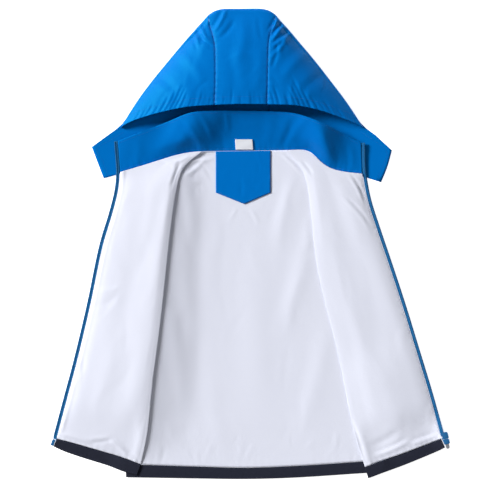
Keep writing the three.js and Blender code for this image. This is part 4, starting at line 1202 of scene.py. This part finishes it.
@dataclass
class ZipTrack:
    """Zip tapes with their teeth, and the hard pieces at the hem."""

    pieces: dict[str, bpy.types.Object] = field(default_factory=dict)

    TOOTH_PITCH = 1.9
    TOOTH = (2.6, 1.05, 1.5)
    TOOTH_AT = 5.6
    HARD = (
        HardPiece("slider_body", "zip_slider", ZIP_PLASTIC, GARMENT, 0.45),
        HardPiece("retainer_box", "zip_retainer", ZIP_PLASTIC, GARMENT, 0.8),
        HardPiece("insertion_pin", "zip_pin", ZIP_PLASTIC, GARMENT, 0.6),
        HardPiece("pull_tab", "zip_pull", PULL_METAL, PULL, 0.3),
    )

    def build(self, under: Sequence[bpy.types.Object]) -> None:
        """Builds the tapes, lays teeth on them and finishes the hard pieces.

        Args:
            under: Pieces that the tapes lie on.
        """
        for side, line, aside in (("left", ZIP_LEFT, -1.0), ("right", ZIP_RIGHT, 1.0)):
            tape = ClothPiece(
                f"{side}_zip_tape", f"zip_tape_{side}", TAPE_CLOTH, (0.012, 0.54), 0.0041, 2, 1.4,
                (f"hood_{side}",),
            ).build(under)
            self.pieces[side] = tape
            edge = smooth_line(moved_line(line, aside * self.TOOTH_AT), self.TOOTH_PITCH)
            self.pieces[f"{side}_teeth"] = self.teeth(f"{side}_zip_teeth", tape, edge)
        for hard in self.HARD:
            self.pieces[hard.name] = hard.build()
        feet = (("left", TAPE_FOOT_LEFT, 0.1, 1.3), ("right", TAPE_FOOT_RIGHT, 4.3, 6.2))
        for side, outline, foot, head in feet:
            self.pieces[f"{side}_foot"] = self.tape_foot(f"{side}_tape_foot", outline, foot, head)

    @staticmethod
    def tape_foot(name: str, outline: Points, foot: float, head: float) -> bpy.types.Object:
        """End of a tape, tucked in between the band's end and the hard piece beside it.

        Args:
            name: Name of the new piece.
            outline: Its outline in plan.
            foot: Height of its underside.
            head: Height of its upper side.

        Returns:
            The piece.
        """
        count = len(outline)
        places = np.array([(x, y, z) for z in (foot, head) for x, y in outline])
        faces = [list(range(count))[::-1], list(range(count, 2 * count))]
        faces += [[i, (i + 1) % count, (i + 1) % count + count, i + count] for i in range(count)]
        piece = add_copies(name, [places], faces, TAPE_CLOTH, GARMENT)
        piece.data.set_sharp_from_angle(angle=math.radians(40))
        return piece

    def teeth(self, name: str, tape: bpy.types.Object, edge: np.ndarray) -> bpy.types.Object:
        """Teeth along the outer edge of a tape.

        Args:
            name: Name of the new piece.
            tape: Tape that they are on.
            edge: Middles of the teeth in plan.

        Returns:
            The teeth, as one piece.
        """
        bpy.ops.object.select_all(action="DESELECT")
        bpy.ops.mesh.primitive_cube_add(size=1.0)
        block = bpy.context.object
        bpy.ops.object.mode_set(mode="EDIT")
        bpy.ops.mesh.select_all(action="SELECT")
        bpy.ops.mesh.bevel(offset=0.22, offset_pct=0, segments=1)
        bpy.ops.object.mode_set(mode="OBJECT")
        shape = np.array([v.co[:] for v in block.data.vertices]) * self.TOOTH
        faces = [list(f.vertices) for f in block.data.polygons]
        bpy.data.objects.remove(block, do_unlink=True)
        cloth = tree_of([tape])
        copies = []
        for before, place, after in zip(edge, edge[1:], edge[2:]):
            hit = cloth.ray_cast(Vector((*place, OVER_ALL)), Vector((0, 0, -1)))[0]
            if hit is None:
                continue
            ahead = Vector((*(after - before), 0)).normalized()
            turn = np.array([(ahead.y, -ahead.x, 0), (ahead.x, ahead.y, 0), (0, 0, 1)])
            copies.append(shape @ turn + np.array(hit) + (0, 0, self.TOOTH[2] * 0.3))
        return add_copies(name, copies, faces, ZIP_PLASTIC, GARMENT)


class Stitching:
    """All rows of stitches that show."""

    def build(self, back: BackPanel, fronts: Fronts, hood: Hood, neck: Neck) -> None:
        """Lays every row of stitches on its cloth.

        Args:
            back: The back panel.
            fronts: The fronts and bands.
            hood: The hood.
            neck: The collar and label.
        """
        hood_cloth = list(hood.pieces.values())
        rows = [self.row(seam, side * 2.6) for seam in (TOP_SEAM_LEFT, TOP_SEAM_RIGHT) for side in (-1, 1)]
        rows += [self.row(MOUTH_LEFT[::-1] + MOUTH_CENTER[1:] + MOUTH_RIGHT[1:], 13.0)]
        rows += [self.row(CHIN_LEFT, 9.0), self.row(CHIN_RIGHT, -9.0)]
        add_stitches("hood_stitches", hood_cloth, rows, BLUE_THREAD)
        top_seams = [smooth_line(seam, 3.0) for seam in (TOP_SEAM_LEFT, TOP_SEAM_RIGHT)]
        add_seam_fill("top_seam_fill", hood_cloth, top_seams, 1.0)
        rear_seams = [smooth_line(seam, 6.0) for seam in (REAR_SEAM_LEFT, REAR_SEAM_RIGHT)]
        add_seam_fill("rear_seam_fill", hood_cloth, rear_seams, -1.0)
        collar_rows = [self.row(NECK, 4.0), self.row(COLLAR_EDGE, -4.0)]
        add_stitches("collar_stitches", [neck.pieces["collar"]], collar_rows, BLUE_THREAD)
        add_stitches("label_stitches", [neck.pieces["label"]], [self.row(LABEL_EDGE, 0)], WHITE_THREAD)
        patch_rows = [self.row(PATCH_EDGE[i : i + 2], 2.5) for i in range(4)]
        add_stitches("patch_stitches", [back.pieces["patch"]], patch_rows, BLUE_THREAD)
        for side, hem, foot, zip_line, inward in (
            ("left", HEM_LEFT, BAND_FOOT_LEFT, ZIP_LEFT, 1.0),
            ("right", HEM_RIGHT, BAND_FOOT_RIGHT, ZIP_RIGHT, -1.0),
        ):
            band_rows = [self.row(hem, 2.6 * inward), self.row(foot, -2.6 * inward)]
            add_stitches(f"{side}_band_stitches", [fronts.pieces[f"{side}_band"]], band_rows, NAVY_THREAD)
            lining_row = [self.row(zip_line[1:], 4.0 * inward)]
            add_stitches(f"{side}_zip_stitches", [fronts.pieces[f"{side}_lining"]], lining_row, WHITE_THREAD)
        back_rows = [self.row(HEM_BACK, -2.6), self.row(BAND_FOOT_BACK, 2.6)]
        add_stitches("back_band_stitches", [back.pieces["band"]], back_rows, NAVY_THREAD)

    @staticmethod
    def row(line: Points, aside: float) -> np.ndarray:
        """Evenly spaced places of one row, beside a seam."""
        return smooth_line(moved_line(line, aside), StitchRun.PITCH)


@dataclass(frozen=True)
class Studio:
    """Camera, pale floor and soft light from the upper left."""

    far: float = 6.0
    seen: float = 0.875
    aim: tuple[float, float] = (-0.00043, -0.01084)

    def build(self) -> None:
        """Sets up the camera, the floor, the lights and the world."""
        scene = bpy.context.scene
        scene.view_settings.view_transform = "Standard"
        data = bpy.data.cameras.new("above")
        data.sensor_width = 36.0
        data.lens = 36.0 * self.far / self.seen
        data.clip_end = 20.0
        camera = bpy.data.objects.new("above", data)
        camera.location = (*self.aim, self.far)
        scene.collection.objects.link(camera)
        scene.camera = camera
        self.floor()
        self.sun("key", (-0.9, 0.44, 0.6), 20.0, 4.8)
        self.sun("fill", (0.1, -0.5, 1.6), 70.0, 0.35)
        world = bpy.data.worlds.new("room")
        world.use_nodes = True
        world.node_tree.nodes["Background"].inputs[0].default_value = (0.97, 0.98, 1.0, 1.0)
        world.node_tree.nodes["Background"].inputs[1].default_value = 0.14
        scene.world = world

    @staticmethod
    def sun(name: str, toward: tuple[float, float, float], soft: float, power: float) -> None:
        """Even light from one side.

        Args:
            name: Name of the light.
            toward: Direction to the light.
            soft: Its width in degrees, which softens the shadows.
            power: Its strength.
        """
        data = bpy.data.lights.new(name, "SUN")
        data.angle = math.radians(soft)
        data.energy = power
        lamp = bpy.data.objects.new(name, data)
        lamp.rotation_euler = (-Vector(toward)).to_track_quat("-Z", "Y").to_euler()
        bpy.context.scene.collection.objects.link(lamp)

    @staticmethod
    def floor() -> None:
        """White floor that glows a little, so that shadows on it stay faint."""
        bpy.ops.object.select_all(action="DESELECT")
        bpy.ops.mesh.primitive_plane_add(size=8.0, location=(0, 0, -0.0006))
        plane = bpy.context.object
        plane.name = "floor"
        made = bpy.data.materials.new("pale_floor")
        made.use_nodes = True
        shader = made.node_tree.nodes["Principled BSDF"]
        shader.inputs["Base Color"].default_value = (0.98, 0.98, 0.98, 1.0)
        shader.inputs["Roughness"].default_value = 0.9
        shader.inputs["Emission Color"].default_value = (1.0, 1.0, 1.0, 1.0)
        shader.inputs["Emission Strength"].default_value = 0.82
        plane.data.materials.append(made)


def main() -> None:
    """Builds the studio and every piece of the coat."""
    logging.basicConfig(level=logging.INFO, format="%(name)s: %(message)s")
    Studio().build()
    back = BackPanel()
    back.build()
    fronts = Fronts()
    fronts.build(back)
    hood = Hood()
    hood.build()
    neck = Neck()
    neck.build(hood)
    zip_track = ZipTrack()
    zip_track.build([*hood.pieces.values(), back.pieces["band"]])
    Stitching().build(back, fronts, hood, neck)


if __name__ == "__main__":
    main()
